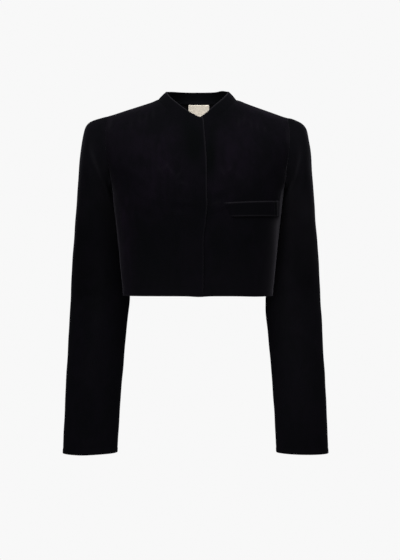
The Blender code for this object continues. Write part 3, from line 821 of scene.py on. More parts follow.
# %% A closed wall of cloth
def cloth_wall(
    name, grid, materials, looks, folded, facings=None, wall=WALL, turned=False, mirror=False, tuck=0.0
):
    """A closed wall whose outer face is the grid. Looks are values that its materials read."""
    normal = normals_of(grid, turned)
    outer_depth, inner_depth = wall_depths(grid, folded, wall)
    side = MIRROR if mirror else 1
    outer = hung((grid - normal * outer_depth) * side)
    inner = hung((grid - normal * inner_depth + tuck) * side)
    rows, columns = grid.shape[:2]
    index = np.arange(rows * columns).reshape(rows, columns)
    inner_index = index.copy()
    inside = inner_index[1:-1, 1:-1]
    inside[:] = rows * columns + np.arange(inside.size).reshape(inside.shape)
    faces = np.concatenate([quads(index), quads(inner_index)[:, ::-1]])
    if turned != mirror:
        faces = faces[:, ::-1]
    mesh = bpy.data.meshes.new(name)
    mesh.from_pydata((both_faces(outer, inner) * MM).tolist(), [], faces.tolist())
    finish_wall(mesh, grid, faces, materials, facings or {})
    for look, values in looks.items():
        values = both_faces(*np.broadcast_to(values, (2, rows, columns))).astype(np.float32)
        mesh.attributes.new(look, "FLOAT", "POINT").data.foreach_set("value", values)
    return put_in_scene(name, mesh)


print("the cloth is", WALL, "mm thick")

# %% [markdown]
# ## Creases
# Velvet is heavy and falls in a few soft folds: slanting ones where a sleeve pulls at its armhole, and
# faint drag lines towards the bust and the pocket. Simulating them would put them where the solver
# likes. A table with one row for each fold keeps them where they are seen, and each can have its own
# length, width and depth. The back has similar ones.

# %% Soft ridges and troughs from a table
Crease = namedtuple("Crease", "across height lean length width rise")
RIGHT_FRONT_CREASES = table(
    Crease, (36, -308, 5, 45, 9, 1.3), (125, -155, 50, 38, 10, 1.4), (28, -212, 80, 22, 5, 1.0),
    (38, -226, 74, 18, 5, -0.9), (118, -300, 4, 70, 12, 1.2), (62, -142, 35, 20, 6, 0.9),
    (64, -147, -35, 18, 6, 0.8), (88, -205, 62, 30, 8, 0.9), (96, -236, 70, 34, 9, -0.8),
)
LEFT_FRONT_CREASES = table(
    Crease, (32, -125, 0, 48, 10, -1.2), (58, -140, -30, 19, 6, 0.9), (62, -146, 34, 16, 6, 0.8),
    (44, -222, 72, 18, 5, 1.0), (36, -205, 84, 15, 5, -0.9), (136, -150, 40, 30, 10, 1.3),
    (62, -320, -4, 50, 12, 1.1), (118, -335, 3, 50, 10, 1.2), (82, -182, -66, 26, 8, 0.8),
)
BACK_CREASES = table(
    Crease, (-95, -150, -48, 45, 12, 1.0), (102, -158, 52, 40, 11, 0.9), (-30, -270, 6, 70, 14, 0.8),
    (48, -300, -5, 60, 12, 0.9), (-105, -320, 4, 50, 11, 0.8), (10, -70, 86, 40, 8, -0.6),
)


def crease_rise(creases, across, height):
    """How far creases lift the cloth. A lean in degrees goes to larger places across on its way up."""
    total = np.zeros(np.broadcast(across, height).shape)
    for crease in creases:
        lean = math.radians(crease.lean)
        sideways, upward = across - crease.across, height - crease.height
        along = upward * math.cos(lean) + sideways * math.sin(lean)
        beside = sideways * math.cos(lean) - upward * math.sin(lean)
        total = total + crease.rise * bell(along / crease.length, beside / crease.width)
    return total


print("creases on the body:", len(RIGHT_FRONT_CREASES + LEFT_FRONT_CREASES + BACK_CREASES))

# %% [markdown]
# ## Waves and hems
# Between its folds steamed velvet is never quite flat, and a hem is thicker where the cloth is turned
# up, with a faint line where its stitches catch. A bump texture would vanish at the outline, so both
# are shapes. Near a seam the waves calm down, because two pieces have to meet there.

# %% Slight waves and calm borders
WAVES = 6
WAVE_LENGTHS = (42.0, 125.0)


def slight_waves(across, height, seed, size):
    """The unevenness of steamed velvet: a few crossing waves of chance directions."""
    draw = np.random.default_rng(seed)
    total = 0.0
    for _ in range(WAVES):
        angle, phase = draw.uniform(0, math.tau, 2)
        along = across * math.cos(angle) + height * math.sin(angle)
        total = total + np.sin(along * math.tau / draw.uniform(*WAVE_LENGTHS) + phase)
    return size * total / math.sqrt(WAVES)


def calm(grid, reach, edges):
    """1 inside a piece and 0 at the named edges."""
    distance = edge_distances(grid)
    return np.prod([smooth_step(0, reach, distance[edge]) for edge in edges], axis=0)


print("waves in the cloth:", WAVES)

# %% A turned-up hem and the rise of a panel
BODY_WAVE = 0.3
BORDER_CALM = 14.0
HEM_DEEP = 12.5
HEM_SLOPE = 3.0
HEM_SWELL = 0.35
HEM_LINE_DEPTH = 0.5
HEM_LINE_WIDTH = 1.7


def hem_rise(distance):
    """The swell of a turned-up hem and the faint line of its stitches."""
    swell = HEM_SWELL * (1 - smooth_step(HEM_DEEP - HEM_SLOPE, HEM_DEEP, distance))
    return swell - HEM_LINE_DEPTH * bell((distance - HEM_DEEP) / HEM_LINE_WIDTH)


def cloth_rise(across, height, creases, seed):
    """Creases and waves of the body's cloth."""
    return crease_rise(creases, across, height) + slight_waves(across, height, seed, BODY_WAVE)


def panel_rise(flat, across, creases, seed, sewn):
    """Creases and waves of a body panel, calm at its sewn edges, and its hem."""
    rise = cloth_rise(across, flat[..., 2], creases, seed) * calm(flat, BORDER_CALM, sewn)
    return rise + hem_rise(edge_distances(flat)["first_row"])


def lifted(grid, rise, turned=False):
    """A grid moved out along its normals."""
    return grid + normals_of(grid, turned) * np.asarray(rise)[..., None]


print("hem turned up by", HEM_DEEP, "mm")

# %% [markdown]
# ## Folds of the sleeves
# A hanging sleeve has a slanting fold in front of the armhole, long soft ones down its length and
# short ones where the elbow bends. They go round the arm, so their places are in degrees. Some are
# shared by both sleeves, and each has its own besides, on the hidden side too.

# %% Sleeve folds from tables
SLEEVE_MM_PER_DEGREE = 0.85
SHARED_SLEEVE_CREASES = table(
    Crease, (70, -185, -17, 38, 15, -2.0), (60, -330, -8, 70, 18, 2.0), (110, -430, 6, 80, 20, -2.0),
    (75, -560, 3, 110, 20, 1.8), (255, -250, 22, 54, 17, -2.5), (285, -380, -17, 62, 17, 2.2),
)
RIGHT_SLEEVE_CREASES = table(
    Crease, (88, -134, -36, 44, 7, 2.7), (92, -420, 2, 150, 9, 1.3), (122, -182, -24, 26, 6, 1.0),
    (60, -420, 48, 26, 8, 0.9), (72, -447, 55, 24, 7, -0.8), (30, -300, 12, 60, 9, 0.7),
    (250, -420, -50, 26, 8, 1.0),
)
LEFT_SLEEVE_CREASES = table(
    Crease, (98, -147, -31, 42, 7, 2.7), (115, -430, -4, 150, 8, 1.3), (112, -196, -20, 24, 6, 0.9),
    (52, -392, 44, 28, 8, 0.8), (80, -470, 58, 22, 7, 0.8), (20, -520, 8, 70, 9, 0.7),
    (246, -445, -46, 26, 8, 1.0),
)
SLEEVE_WAVE = 0.35
ARMHOLE_CALM = 11.0
CUFF_CALM = 50.0
BACK_SEAM_CALM = 30.0


def sleeve_creases(creases, cut):
    """Creases of a sleeve, whose places across are degrees round the arm."""
    total = 0.0
    for crease in creases:
        turn = (np.degrees(cut.angle) - crease.across + 180) % 360 - 180
        moved = crease._replace(across=0.0)
        total = total + crease_rise([moved], turn * SLEEVE_MM_PER_DEGREE, cut.flat[..., 2])
    return total


def sleeve_rise(cut, own_creases, seed):
    """Folds, creases and waves of a sleeve piece, calm at the armhole and the cuff."""
    across = np.degrees(cut.angle) * SLEEVE_MM_PER_DEGREE
    waves = slight_waves(across, cut.flat[..., 2], seed, SLEEVE_WAVE)
    total = sleeve_creases(SHARED_SLEEVE_CREASES + own_creases, cut)
    total = total + waves * calm(cut.flat, BACK_SEAM_CALM, [cut.back_seam])
    ends = calm(cut.flat, ARMHOLE_CALM, ["first_row"]) * calm(cut.flat, CUFF_CALM, ["last_row"])
    return total * ends + hem_rise(edge_distances(cut.flat)["last_row"])


print("folds on each sleeve:", len(SHARED_SLEEVE_CREASES + LEFT_SLEEVE_CREASES))

# %% [markdown]
# ## The pile
# Velvet is a lawn of short upright fibres. It is nearly black where you look into it, and glows where
# you look along it. Growing millions of hairs would be slow, so a dark base and sheen stand for them.
# Handling also brushes the fibres this way and that in soft patches. Three node groups hold what the
# cloths share: the patches, which also mix in the painted light, shade and highlights written on each
# point, the fine nap that breaks up the shading close by, and the crossing threads of woven cloth.
# They read the object's own coordinates or the flat pattern, which ride with the jacket.


# %% Helpers for node groups
def new_group(name, inputs, outputs):
    """An empty shader group with number inputs and outputs."""
    group = bpy.data.node_groups.new(name, "ShaderNodeTree")
    for label, default in inputs.items():
        socket = group.interface.new_socket(label, in_out="INPUT", socket_type="NodeSocketFloat")
        socket.default_value = default
    for label in outputs:
        group.interface.new_socket(label, in_out="OUTPUT", socket_type="NodeSocketFloat")
    return group, group.nodes.new("NodeGroupInput").outputs, group.nodes.new("NodeGroupOutput").inputs


def math_node(tree, operation, *operands):
    """Result of a math node whose operands are numbers or sockets."""
    numbers = {k: operand for k, operand in enumerate(operands) if isinstance(operand, (int, float))}
    sockets = {k: operand for k, operand in enumerate(operands) if k not in numbers}
    return add_node(tree, "Math", numbers, sockets, operation=operation).outputs[0]


def noise(tree, place, scale, detail, rough, distortion=0.0):
    """Result of a cloudy noise."""
    values = {"Detail": detail, "Roughness": rough, "Distortion": distortion}
    return add_node(tree, "TexNoise", values, {"Vector": place, "Scale": scale}).outputs[0]


print("group helpers ready")

# %% Brushed patches, painted light and painted highlights
FINER_PATCHES = 4.0
FINER_SHARE = 0.7
PATCH_RANGE = {"From Min": 0.61, "From Max": 1.09, "To Min": -0.5, "To Max": 0.5}
UNBRUSHED = 0.4
PAINTED_HIGHLIGHT_SHARE = 0.755
patches, patches_in, patches_out = new_group(
    "brushed_patches_and_painted_light", {"Patches per Metre": 18.0, "Streak": 0.45, "Contrast": 0.5}, ["Mask", "Fold"]
)
where = add_node(patches, "TexCoord").outputs["Object"]
streaked = add_node(patches, "CombineXYZ", {"X": 1.0, "Y": 1.0}, {"Z": patches_in["Streak"]})
stretched = add_node(
    patches, "VectorMath", links={0: where, 1: streaked.outputs[0]}, operation="MULTIPLY"
).outputs[0]
finer = math_node(patches, "MULTIPLY", patches_in["Patches per Metre"], FINER_PATCHES)
coarse = patches_in["Patches per Metre"]
broad = noise(patches, stretched, coarse, detail=2.0, rough=0.5, distortion=0.4)
small = noise(patches, stretched, finer, detail=3.0, rough=0.6)
cloudy = math_node(patches, "MULTIPLY_ADD", small, FINER_SHARE, broad)
spread = add_node(patches, "MapRange", PATCH_RANGE, {"Value": cloudy}, interpolation_type="SMOOTHSTEP")
uneven = math_node(patches, "MULTIPLY_ADD", spread.outputs["Result"], patches_in["Contrast"], 1.0)
# The first value on each point adds painted light and shade to the brushing, the second a painted
# highlight.
brushed_and_lit = add_node(patches, "Attribute", attribute_name="pile_tone_and_painted_light").outputs["Fac"]
level = math_node(patches, "ADD", brushed_and_lit, UNBRUSHED)
mask = math_node(patches, "MAXIMUM", math_node(patches, "MULTIPLY", level, uneven), 0.0)
painted_highlight_amount = add_node(patches, "Attribute", attribute_name="painted_highlight").outputs["Fac"]
patches.links.new(mask, patches_out["Mask"])
patches.links.new(math_node(patches, "MULTIPLY", painted_highlight_amount, PAINTED_HIGHLIGHT_SHARE), patches_out["Fold"])
print("group:", patches.name)

# %% Fine nap
CLUMPS_PER_TUFT = 0.22
CLUMP_SHARE = 0.6
nap, nap_in, nap_out = new_group("fine_nap", {"Tufts per Metre": 900.0}, ["Height"])
where = add_node(nap, "TexCoord").outputs["Object"]
tufts = noise(nap, where, nap_in["Tufts per Metre"], detail=2.0, rough=0.65)
clump_scale = math_node(nap, "MULTIPLY", nap_in["Tufts per Metre"], CLUMPS_PER_TUFT)
clumps = noise(nap, where, clump_scale, detail=2.0, rough=0.5)
nap.links.new(math_node(nap, "MULTIPLY_ADD", clumps, CLUMP_SHARE, tufts), nap_out["Height"])
print("group:", nap.name)

# %% Crossing threads for lining and label
weave, weave_in, weave_out = new_group("crossing_threads", {"Threads per Metre": 1200.0}, ["Height"])
pattern = add_node(weave, "UVMap", uv_map="flat_pattern").outputs[0]
ways = add_node(weave, "SeparateXYZ", links={0: pattern}).outputs
turns = math_node(weave, "MULTIPLY", weave_in["Threads per Metre"], math.pi)
warp, weft = (
    math_node(weave, "SINE", math_node(weave, "MULTIPLY", ways[way], turns)) for way in ("X", "Y")
)
crossing = math_node(weave, "MULTIPLY", warp, weft)
weave.links.new(math_node(weave, "MULTIPLY_ADD", crossing, 0.5, 0.5), weave_out["Height"])
print("group:", weave.name)

# %% [markdown]
# ## Three cloths
# The outside is black velvet with a trace of violet. Inside is a black satin lining, smoother and a
# little shiny. The label is cream and woven. Constant values such as sheen are set straight on the
# shader, and only what changes over the surface is linked.


# %% One recipe for the cloths
def cloth_material(name, tones, rough, settings, patch, relief, bump):
    """Colour and roughness from pile patches with painted light and shade, plus a painted highlight;
    normals from a relief.
    """
    material = bpy.data.materials.new(name)
    material.use_nodes = True
    tree = material.node_tree
    surface = tree.nodes["Principled BSDF"]
    set_sockets(surface, settings)
    # The lighter second tone also serves as painted light, and the third is mixed in as a painted
    # highlight.
    deep, brushed_and_lit, edge = ((*tone, 1) for tone in tones)
    patch = add_node(tree, "Group", patch, node_tree=patches).outputs
    tones_mixed = {"A": deep, "B": brushed_and_lit}
    tint = add_node(
        tree, "Mix", tones_mixed, {"Factor": patch["Mask"]}, data_type="RGBA", clamp_factor=False
    )
    lit = {"Factor": patch["Fold"], "A": tint.outputs["Result"]}
    with_painted_highlight = add_node(tree, "Mix", {"B": edge}, lit, data_type="RGBA")
    rough_ends = {"To Min": rough[0], "To Max": rough[1]}
    spread = add_node(tree, "MapRange", rough_ends, {"Value": patch["Mask"]})
    group, relief_values = relief
    height = add_node(tree, "Group", relief_values, node_tree=group).outputs["Height"]
    bumped = add_node(tree, "Bump", bump, {"Height": height})
    tree.links.new(with_painted_highlight.outputs["Result"], surface.inputs["Base Color"])
    tree.links.new(spread.outputs["Result"], surface.inputs["Roughness"])
    tree.links.new(bumped.outputs["Normal"], surface.inputs["Normal"])
    return material


print("recipe ready, with", len(bpy.data.node_groups), "groups")

# %% Velvet, lining and label cloth
velvet = cloth_material(
    "black_velvet",
    # Dark neutral pile, lighter violet pile that also stands for painted light, and the painted
    # highlight's colour
    tones=((0.0022, 0.0025, 0.0028), (0.0052, 0.0040, 0.0067), (0.045, 0.0424, 0.049)),
    rough=(0.80, 0.95),
    settings={
        "Specular IOR Level": 0.0,
        "Sheen Weight": 0.05,
        "Sheen Roughness": 0.35,
        "Sheen Tint": (0.75, 0.72, 0.85, 1),
    },
    patch={"Patches per Metre": 22.0, "Streak": 0.55, "Contrast": 0.8},
    relief=(nap, {"Tufts per Metre": 900.0}),
    bump={"Strength": 0.35, "Distance": 0.0006},
)
lining = cloth_material(
    "black_satin_lining",
    tones=((0.0018, 0.0018, 0.0020), (0.0026, 0.0026, 0.0029), (0.0026, 0.0026, 0.0029)),
    rough=(0.46, 0.56),
    settings={"Specular IOR Level": 0.12, "Sheen Weight": 0.01},
    patch={"Patches per Metre": 30.0, "Streak": 0.3},
    relief=(weave, {"Threads per Metre": 2400.0}),
    bump={"Strength": 0.2, "Distance": 0.0002},
)
label_cloth = cloth_material(
    "cream_label",
    tones=((0.74, 0.67, 0.56), (0.82, 0.75, 0.64), (0.86, 0.79, 0.68)),
    rough=(0.55, 0.68),
    settings={"Specular IOR Level": 0.35, "Sheen Weight": 0.05},
    patch={"Patches per Metre": 60.0, "Streak": 1.0},
    relief=(weave, {"Threads per Metre": 1500.0}),
    bump={"Strength": 0.4, "Distance": 0.0003},
)
print("materials:", velvet.name, lining.name, label_cloth.name)

# %% [markdown]
# ## Sewing the pieces
# Every piece replaces the solid of the same name and rides on the jacket's one body. Its flat width
# and length are worked out as the longest row and column of its grid.

# %% Build a piece of cloth
OUTER_CLOTH = (velvet, lining)


def sew_on(node, grid, materials, looks, rests_on, slot="black_velvet", **form):
    """Build a piece, let it ride, stand for its solid and measure its flat width and length."""
    piece = cloth_wall(node + "_cloth", grid, materials, looks, **form)
    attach(piece, "root")
    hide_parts(node)
    wide = float(run_lengths(grid, 1)[:, -1].max() * MM)
    long = float(run_lengths(grid, 0)[-1].max() * MM)


# %% [markdown]
# ## Painted light and brushed places
# Light and shade are painted into the pile's tone: the chest and shoulders are painted lighter and
# more violet where light from above falls, the closing edge, the neck and the lower body are painted
# darker as shade, a painted sheen runs by the side seams, and short painted highlights lie on small
# wrinkles. An even noise can't tell one place from another. So every point carries two values,
# written from tables like the creases: a tone of pile with painted light and shade, and a painted
# highlight such as lies along folds.

# %% Where light, shade and highlights are painted on the fronts
# Painted light on chest and shoulders, painted shade by the closing edge, neck and lower body, and a
# painted sheen by the side seam
RIGHT_FRONT_PILE_AND_PAINTED_LIGHT = table(
    Crease, (42, -44, 50, 46, 17, -0.24), (76, -145, 0, 66, 52, 0.32), (125, -22, -71, 60, 11, 0.15),
    (8, -105, 0, 42, 24, -0.48), (136, -155, 0, 36, 13, -0.15), (154, -195, 8, 60, 10, 0.60),
    (138, -310, 2, 95, 15, 0.70), (75, -330, 0, 100, 70, -0.22), (4, -250, 0, 45, 18, -0.20),
)
LEFT_FRONT_PILE_AND_PAINTED_LIGHT = table(
    Crease, (44, -44, 50, 46, 17, -0.22), (66, -140, 0, 58, 44, 0.32), (120, -20, -71, 60, 12, 0.25),
    (25, -125, 0, 42, 13, -0.60), (24, -192, 0, 14, 11, 0.20), (142, -150, 0, 40, 18, -0.08),
    (75, -320, 0, 100, 70, -0.18),
)
# Painted highlights: a broad one low down, one along each shoulder, and short ones on small wrinkles
RIGHT_FRONT_PAINTED_HIGHLIGHTS = table(
    Crease, (75, -385, 90, 150, 75, 0.027), (120, -20, -71, 60, 8, 0.03), (86, -37, 5, 10, 3, 0.04),
    (99, -44, -6, 9, 2.5, 0.035), (113, -47, 4, 11, 3, 0.035), (129, -56, -3, 9, 3, 0.03),
    (73, -150, 36, 10, 2.5, 0.04), (61, -145, -46, 8, 2.5, 0.04), (50, -153, 36, 10, 2.5, 0.04),
    (37, -160, -38, 8, 2.5, 0.05), (28, -176, 70, 9, 2.5, 0.04), (175, -54, 0, 15, 4, 0.06),
)
LEFT_FRONT_PAINTED_HIGHLIGHTS = table(
    Crease, (75, -385, 90, 150, 75, 0.027), (120, -20, -71, 60, 8, 0.04), (80, -52, 2, 11, 2.5, 0.045),
    (91, -47, 6, 8, 3, 0.04), (104, -59, -4, 11, 2.5, 0.045), (117, -61, 3, 9, 3, 0.04),
    (131, -68, -2, 8, 3, 0.03), (47, -154, -34, 10, 2.5, 0.035), (61, -149, 48, 8, 2.5, 0.04),
    (76, -158, -26, 11, 2.5, 0.03), (34, -214, 72, 10, 2.5, 0.04), (177, -80, 0, 17, 4, 0.07),
)
PAINTED_HIGHLIGHT_ENDS = (0.8, 3.4)


def painted_fold_highlight(grid, strengths):
    """How strong the painted highlight is at folded edges, a thin lighter line along each."""
    total = np.zeros(grid.shape[:2])
    distance = edge_distances(grid)
    for edge, strength in strengths.items():
        near = 1 - smooth_step(*PAINTED_HIGHLIGHT_ENDS, distance[edge])
        total = np.maximum(total, strength * near)
    return total


print("brushed places on the fronts:", len(RIGHT_FRONT_PILE_AND_PAINTED_LIGHT + LEFT_FRONT_PILE_AND_PAINTED_LIGHT))

# %% [markdown]
# ## The fronts
# The two fronts close the jacket with a line that runs from the neck to the hem. On the real one the
# right front is folded back on itself there and lies on the left one. One loop makes both from their
# tables, and a step lets the left one pass under. A painted highlight runs along the closing edge and
# the hem, and on the wearer's left a painted sheen runs along the side seam and the armhole too.

# %% Painted sheen along the side seam and the armhole
SIDE_GLOW_HEIGHTS = (-255.0, -222.0)
SIDE_GLOW_REACH = 9.0
FRONT_PAINTED_SHEEN = 0.28
ARMHOLE_PAINTED_SHEEN = (0.60, 0.06)
ARMHOLE_LIGHT_HEIGHTS = (-150.0, -112.0)
ARMHOLE_FOOT = (-192.0, -174.0)


def painted_side_sheen(grid):
    """How strong the painted sheen is along the side seam, where the cloth turns away, and at the
    armhole.
    """
    height = grid[..., 2]
    wide = FRONT_PAINTED_SHEEN * np.exp(-edge_distances(grid)["last_column"] / SIDE_GLOW_REACH)
    armhole = mix(*ARMHOLE_PAINTED_SHEEN, smooth_step(*ARMHOLE_LIGHT_HEIGHTS, height))
    armhole = armhole * smooth_step(*ARMHOLE_FOOT, height)
    narrow = armhole * painted_fold_highlight(grid, {"last_column": 1})
    return mix(wide, narrow, smooth_step(*SIDE_GLOW_HEIGHTS, height))


print("strongest glow at a front's side:", round(float(painted_side_sheen(left_front_flat).max()), 2))

# %% Two fronts
FACING_WIDE = 55.0
HEM_FACING = 28.0
# Strengths of painted highlights at the hem and the closing edge, and of the painted sheen at each
# side.
HEM_PAINTED_HIGHLIGHT = 0.13
CLOSING_PAINTED_HIGHLIGHT = 0.16
CLOSING_LIGHT_LOW = 0.4
CLOSING_LIGHT_FADE = (-260.0, -190.0)
SIDE_PAINTED_SHEEN = {"right": 0.0, "left": 1.65}
RIGHT_FRONT_SEED = 3
LEFT_FRONT_SEED = 5
# A front's pile table holds its tone with painted light and shade, and its highlight table painted
# highlights.
Front = namedtuple("Front", "side flat seed under creases pile marks")
FRONTS = (
    Front(
        "right", right_front_flat, RIGHT_FRONT_SEED, 0,
        RIGHT_FRONT_CREASES, RIGHT_FRONT_PILE_AND_PAINTED_LIGHT, RIGHT_FRONT_PAINTED_HIGHLIGHTS,
    ),
    Front(
        "left", left_front_flat, LEFT_FRONT_SEED, 1,
        LEFT_FRONT_CREASES, LEFT_FRONT_PILE_AND_PAINTED_LIGHT, LEFT_FRONT_PAINTED_HIGHLIGHTS,
    ),
)
for front in FRONTS:
    front_x, front_height = front.flat[..., 0], front.flat[..., 2]
    front_rise = panel_rise(front.flat, front_x, front.creases, front.seed, ("last_row", "last_column"))
    front_cloth = lifted(front.flat, front_rise)
    front_cloth[..., 1] += front.under * closing_step(front_x)
    # Painted highlights along the closing edge and the hem, and the painted sheen by the side seam.
    closing_fade = mix(CLOSING_LIGHT_LOW, 1, smooth_step(*CLOSING_LIGHT_FADE, front_height))
    closing_light = painted_fold_highlight(front_cloth, {"first_column": CLOSING_PAINTED_HIGHLIGHT}) * closing_fade
    front_light = np.maximum(painted_fold_highlight(front_cloth, {"first_row": HEM_PAINTED_HIGHLIGHT}), closing_light)
    front_light = front_light + SIDE_PAINTED_SHEEN[front.side] * painted_side_sheen(front_cloth)
    sew_on(
        f"front_{front.side}", front_cloth, OUTER_CLOTH,
        {
            "pile_tone_and_painted_light": crease_rise(front.pile, front_x, front_height),
            "painted_highlight": front_light + crease_rise(front.marks, front_x, front_height),
        },
        rests_on=["back_cloth"], folded=("first_row", "first_column"),
        facings={"first_row": HEM_FACING, "first_column": FACING_WIDE}, mirror=front.side == "right",
    )

# %% [markdown]
# ## The back
# The back isn't seen in the picture. It is taken to be plain and cut in one piece, with a few drag
# lines like those on the front. Like the front it is painted lighter high up and darker low down, as
# light from above would fall, with a painted highlight along its hem.

# %% Back
# Painted lighter high on the back and darker low down, as light from above falls.
BACK_PAINTED_LIGHT = table(
    Crease, (-70, -110, 10, 70, 55, 0.3), (80, -130, -8, 60, 48, 0.25), (0, -330, 90, 130, 60, -0.2)
)
BACK_SEED = 11
PANEL_SEAMS = ("last_row", "first_column", "last_column")
back_x, back_height = back_flat[..., 0], back_flat[..., 2]
back_rise = panel_rise(back_flat, back_x, BACK_CREASES, BACK_SEED, PANEL_SEAMS)
back_cloth = lifted(back_flat, back_rise, turned=True)
back_looks = {
    "pile_tone_and_painted_light": crease_rise(BACK_PAINTED_LIGHT, back_x, back_height),
    "painted_highlight": painted_fold_highlight(back_cloth, {"first_row": HEM_PAINTED_HIGHLIGHT}),
}
sew_on(
    "back", back_cloth, OUTER_CLOTH, back_looks, rests_on=["collar_stand_cloth"], folded=("first_row",),
    facings={"first_row": HEM_FACING}, turned=True,
)

# %% [markdown]
# ## The side panels
# A narrow panel under each arm lets the body turn from front to back without a bulky seam. Only a
# sliver of it shows beside the sleeve, where the cloth turns away. Both panels are painted a little
# lighter, and on the wearer's left a painted sheen runs there. One grid serves both sides, and the
# right one is its mirror image.

# %% Side panels
SIDE_SEED = 8
# Both side panels are painted lighter, and a painted sheen runs near their front seam, with a painted
# highlight at the hem.
SIDE_PAINTED_LIGHT_TONE = 0.3
SIDE_GLOW_GROWTH = 18.0
SIDE_GLOW_END = (22.0, 48.0)
SIDE_GLOW_NARROW = 12.0
SIDE_GLOW_SHIFT = 8.0
SIDE_GLOW_SHIFT_HEIGHTS = (-215.0, -180.0)
side_cloth = lifted(side_flat, panel_rise(side_flat, side_flat[..., 1], (), SIDE_SEED, PANEL_SEAMS))
side_front, side_height = edge_distances(side_cloth)["first_column"], side_cloth[..., 2]
side_wide = mix(FRONT_PAINTED_SHEEN, 1, smooth_step(0, SIDE_GLOW_GROWTH, side_front))
side_start = SIDE_GLOW_SHIFT * (1 - smooth_step(*SIDE_GLOW_SHIFT_HEIGHTS, side_height))
side_narrow = smooth_step(0, SIDE_GLOW_NARROW, side_front - side_start)
painted_sheen_mask = mix(side_wide, side_narrow, smooth_step(*SIDE_GLOW_HEIGHTS, side_height))
painted_sheen_mask = painted_sheen_mask * (1 - smooth_step(*SIDE_GLOW_END, side_front))
side_hem = painted_fold_highlight(side_cloth, {"first_row": HEM_PAINTED_HIGHLIGHT})
for side, painted_sheen_strength in SIDE_PAINTED_SHEEN.items():
    sew_on(
        f"side_{side}", side_cloth, OUTER_CLOTH,
        {"pile_tone_and_painted_light": SIDE_PAINTED_LIGHT_TONE, "painted_highlight": painted_sheen_strength * painted_sheen_mask + side_hem},
        rests_on=["back_cloth"], folded=("first_row",), facings={"first_row": HEM_FACING},
        mirror=side == "right",
    )

# %% [markdown]
# ## The sleeves
# Each sleeve is sewn from a top and an under piece. On the real one their seams run unseen before and
# behind the arm. The under piece takes its seam points from the top one, so not a thread of light
# comes through. The head is painted darker as shade, and painted highlights lie on the ridges of the
# folds, with painted light in the shade by the armpit.

# %% Sleeves
SLEEVE_TONE = -0.12
# Painted shade on the sleeve heads, darkening what the overhead light makes bright.
RIGHT_SLEEVE_HEAD_PAINTED_SHADE = table(Crease, (60, -80, 0, 60, 75, -0.02))
LEFT_SLEEVE_HEAD_PAINTED_SHADE = table(Crease, (60, -80, 0, 60, 75, -0.12))
# Painted highlights on the ridges of the folds, and painted light in the shade beside the armpit.
RIGHT_SLEEVE_PAINTED_HIGHLIGHTS = table(
    Crease, (88, -134, -36, 40, 3, 0.06), (116, -170, 0, 38, 26, 0.03), (140, -205, 0, 55, 35, 0.05),
    (92, -420, 2, 150, 12, 0.02), (75, -300, 0, 120, 30, 0.015),
)
LEFT_SLEEVE_PAINTED_HIGHLIGHTS = table(
    Crease, (98, -147, -31, 38, 3, 0.07), (122, -200, 0, 55, 32, 0.045), (145, -205, 0, 55, 30, 0.05),
    (68, -240, 0, 85, 34, 0.03), (100, -480, -4, 220, 60, 0.03), (130, -310, 0, 130, 34, 0.06),
    (25, -260, 0, 140, 30, 0.08),
)
# A sleeve's head table holds painted shade and its pile table painted highlights.
Sleeve = namedtuple("Sleeve", "side creases head pile seed")
SLEEVES = (
    Sleeve("right", RIGHT_SLEEVE_CREASES, RIGHT_SLEEVE_HEAD_PAINTED_SHADE, RIGHT_SLEEVE_PAINTED_HIGHLIGHTS, 21),
    Sleeve("left", LEFT_SLEEVE_CREASES, LEFT_SLEEVE_HEAD_PAINTED_SHADE, LEFT_SLEEVE_PAINTED_HIGHLIGHTS, 27),
)
for sleeve in SLEEVES:
    for cut in SLEEVE_CUTS:
        sleeve_cloth = lifted(cut.flat, sleeve_rise(cut, sleeve.creases, sleeve.seed))
        if cut.name == "top":
            top_seams = sleeve_cloth[:, [0, -1]]
        else:
            sleeve_cloth[:, [-1, 0]] = top_seams
        sleeve_looks = {
            "pile_tone_and_painted_light": SLEEVE_TONE + sleeve_creases(sleeve.head, cut),
            "painted_highlight": sleeve_creases(sleeve.pile, cut),
        }
        sew_on(
            f"sleeve_{cut.name}_{sleeve.side}", sleeve_cloth, OUTER_CLOTH, sleeve_looks,
            rests_on=["back_cloth"], folded=("last_row",), facings={"last_row": HEM_FACING},
            mirror=sleeve.side == "right",
        )

# %% [markdown]
# ## The collar's cloth
# The band is velvet on both faces, slightly rounded over its height, and both are painted darker as
# shade. Its top edge is a fold with a thin painted highlight in front, and so is one of its ends. On
# the real one its lower edge is sewn into the neckline. Here the inner face is tucked down and in
# behind that seam, so no gap shows from above.

# %% Collar
COLLAR_BULGE = 0.9
# Both faces of the collar are painted darker as shade, the inside most.
OUTER_COLLAR_PAINTED_SHADE = -0.2
INNER_COLLAR_PAINTED_SHADE = -0.3
COLLAR_PAINTED_SHADES = np.array([OUTER_COLLAR_PAINTED_SHADE, INNER_COLLAR_PAINTED_SHADE])[:, None, None]
COLLAR_PAINTED_HIGHLIGHTS = {"last_row": 0.4, "first_column": 0.2}
COLLAR_LIGHT_DEPTHS = (-25.0, 25.0)
TUCK_DOWN = 2.4
TUCK_IN = 1.4
TUCK_FADE = (1.5, 7.0)
collar_bulge = COLLAR_BULGE * np.sin(np.pi * collar_rise)
collar_cloth = lifted(collar_flat, collar_bulge, turned=True)
collar_fade = 1 - smooth_step(*TUCK_FADE, edge_distances(collar_cloth)["first_row"])[..., None]
collar_tuck = TUCK_IN * normals_of(collar_cloth) - TUCK_DOWN * unit(collar_lift)
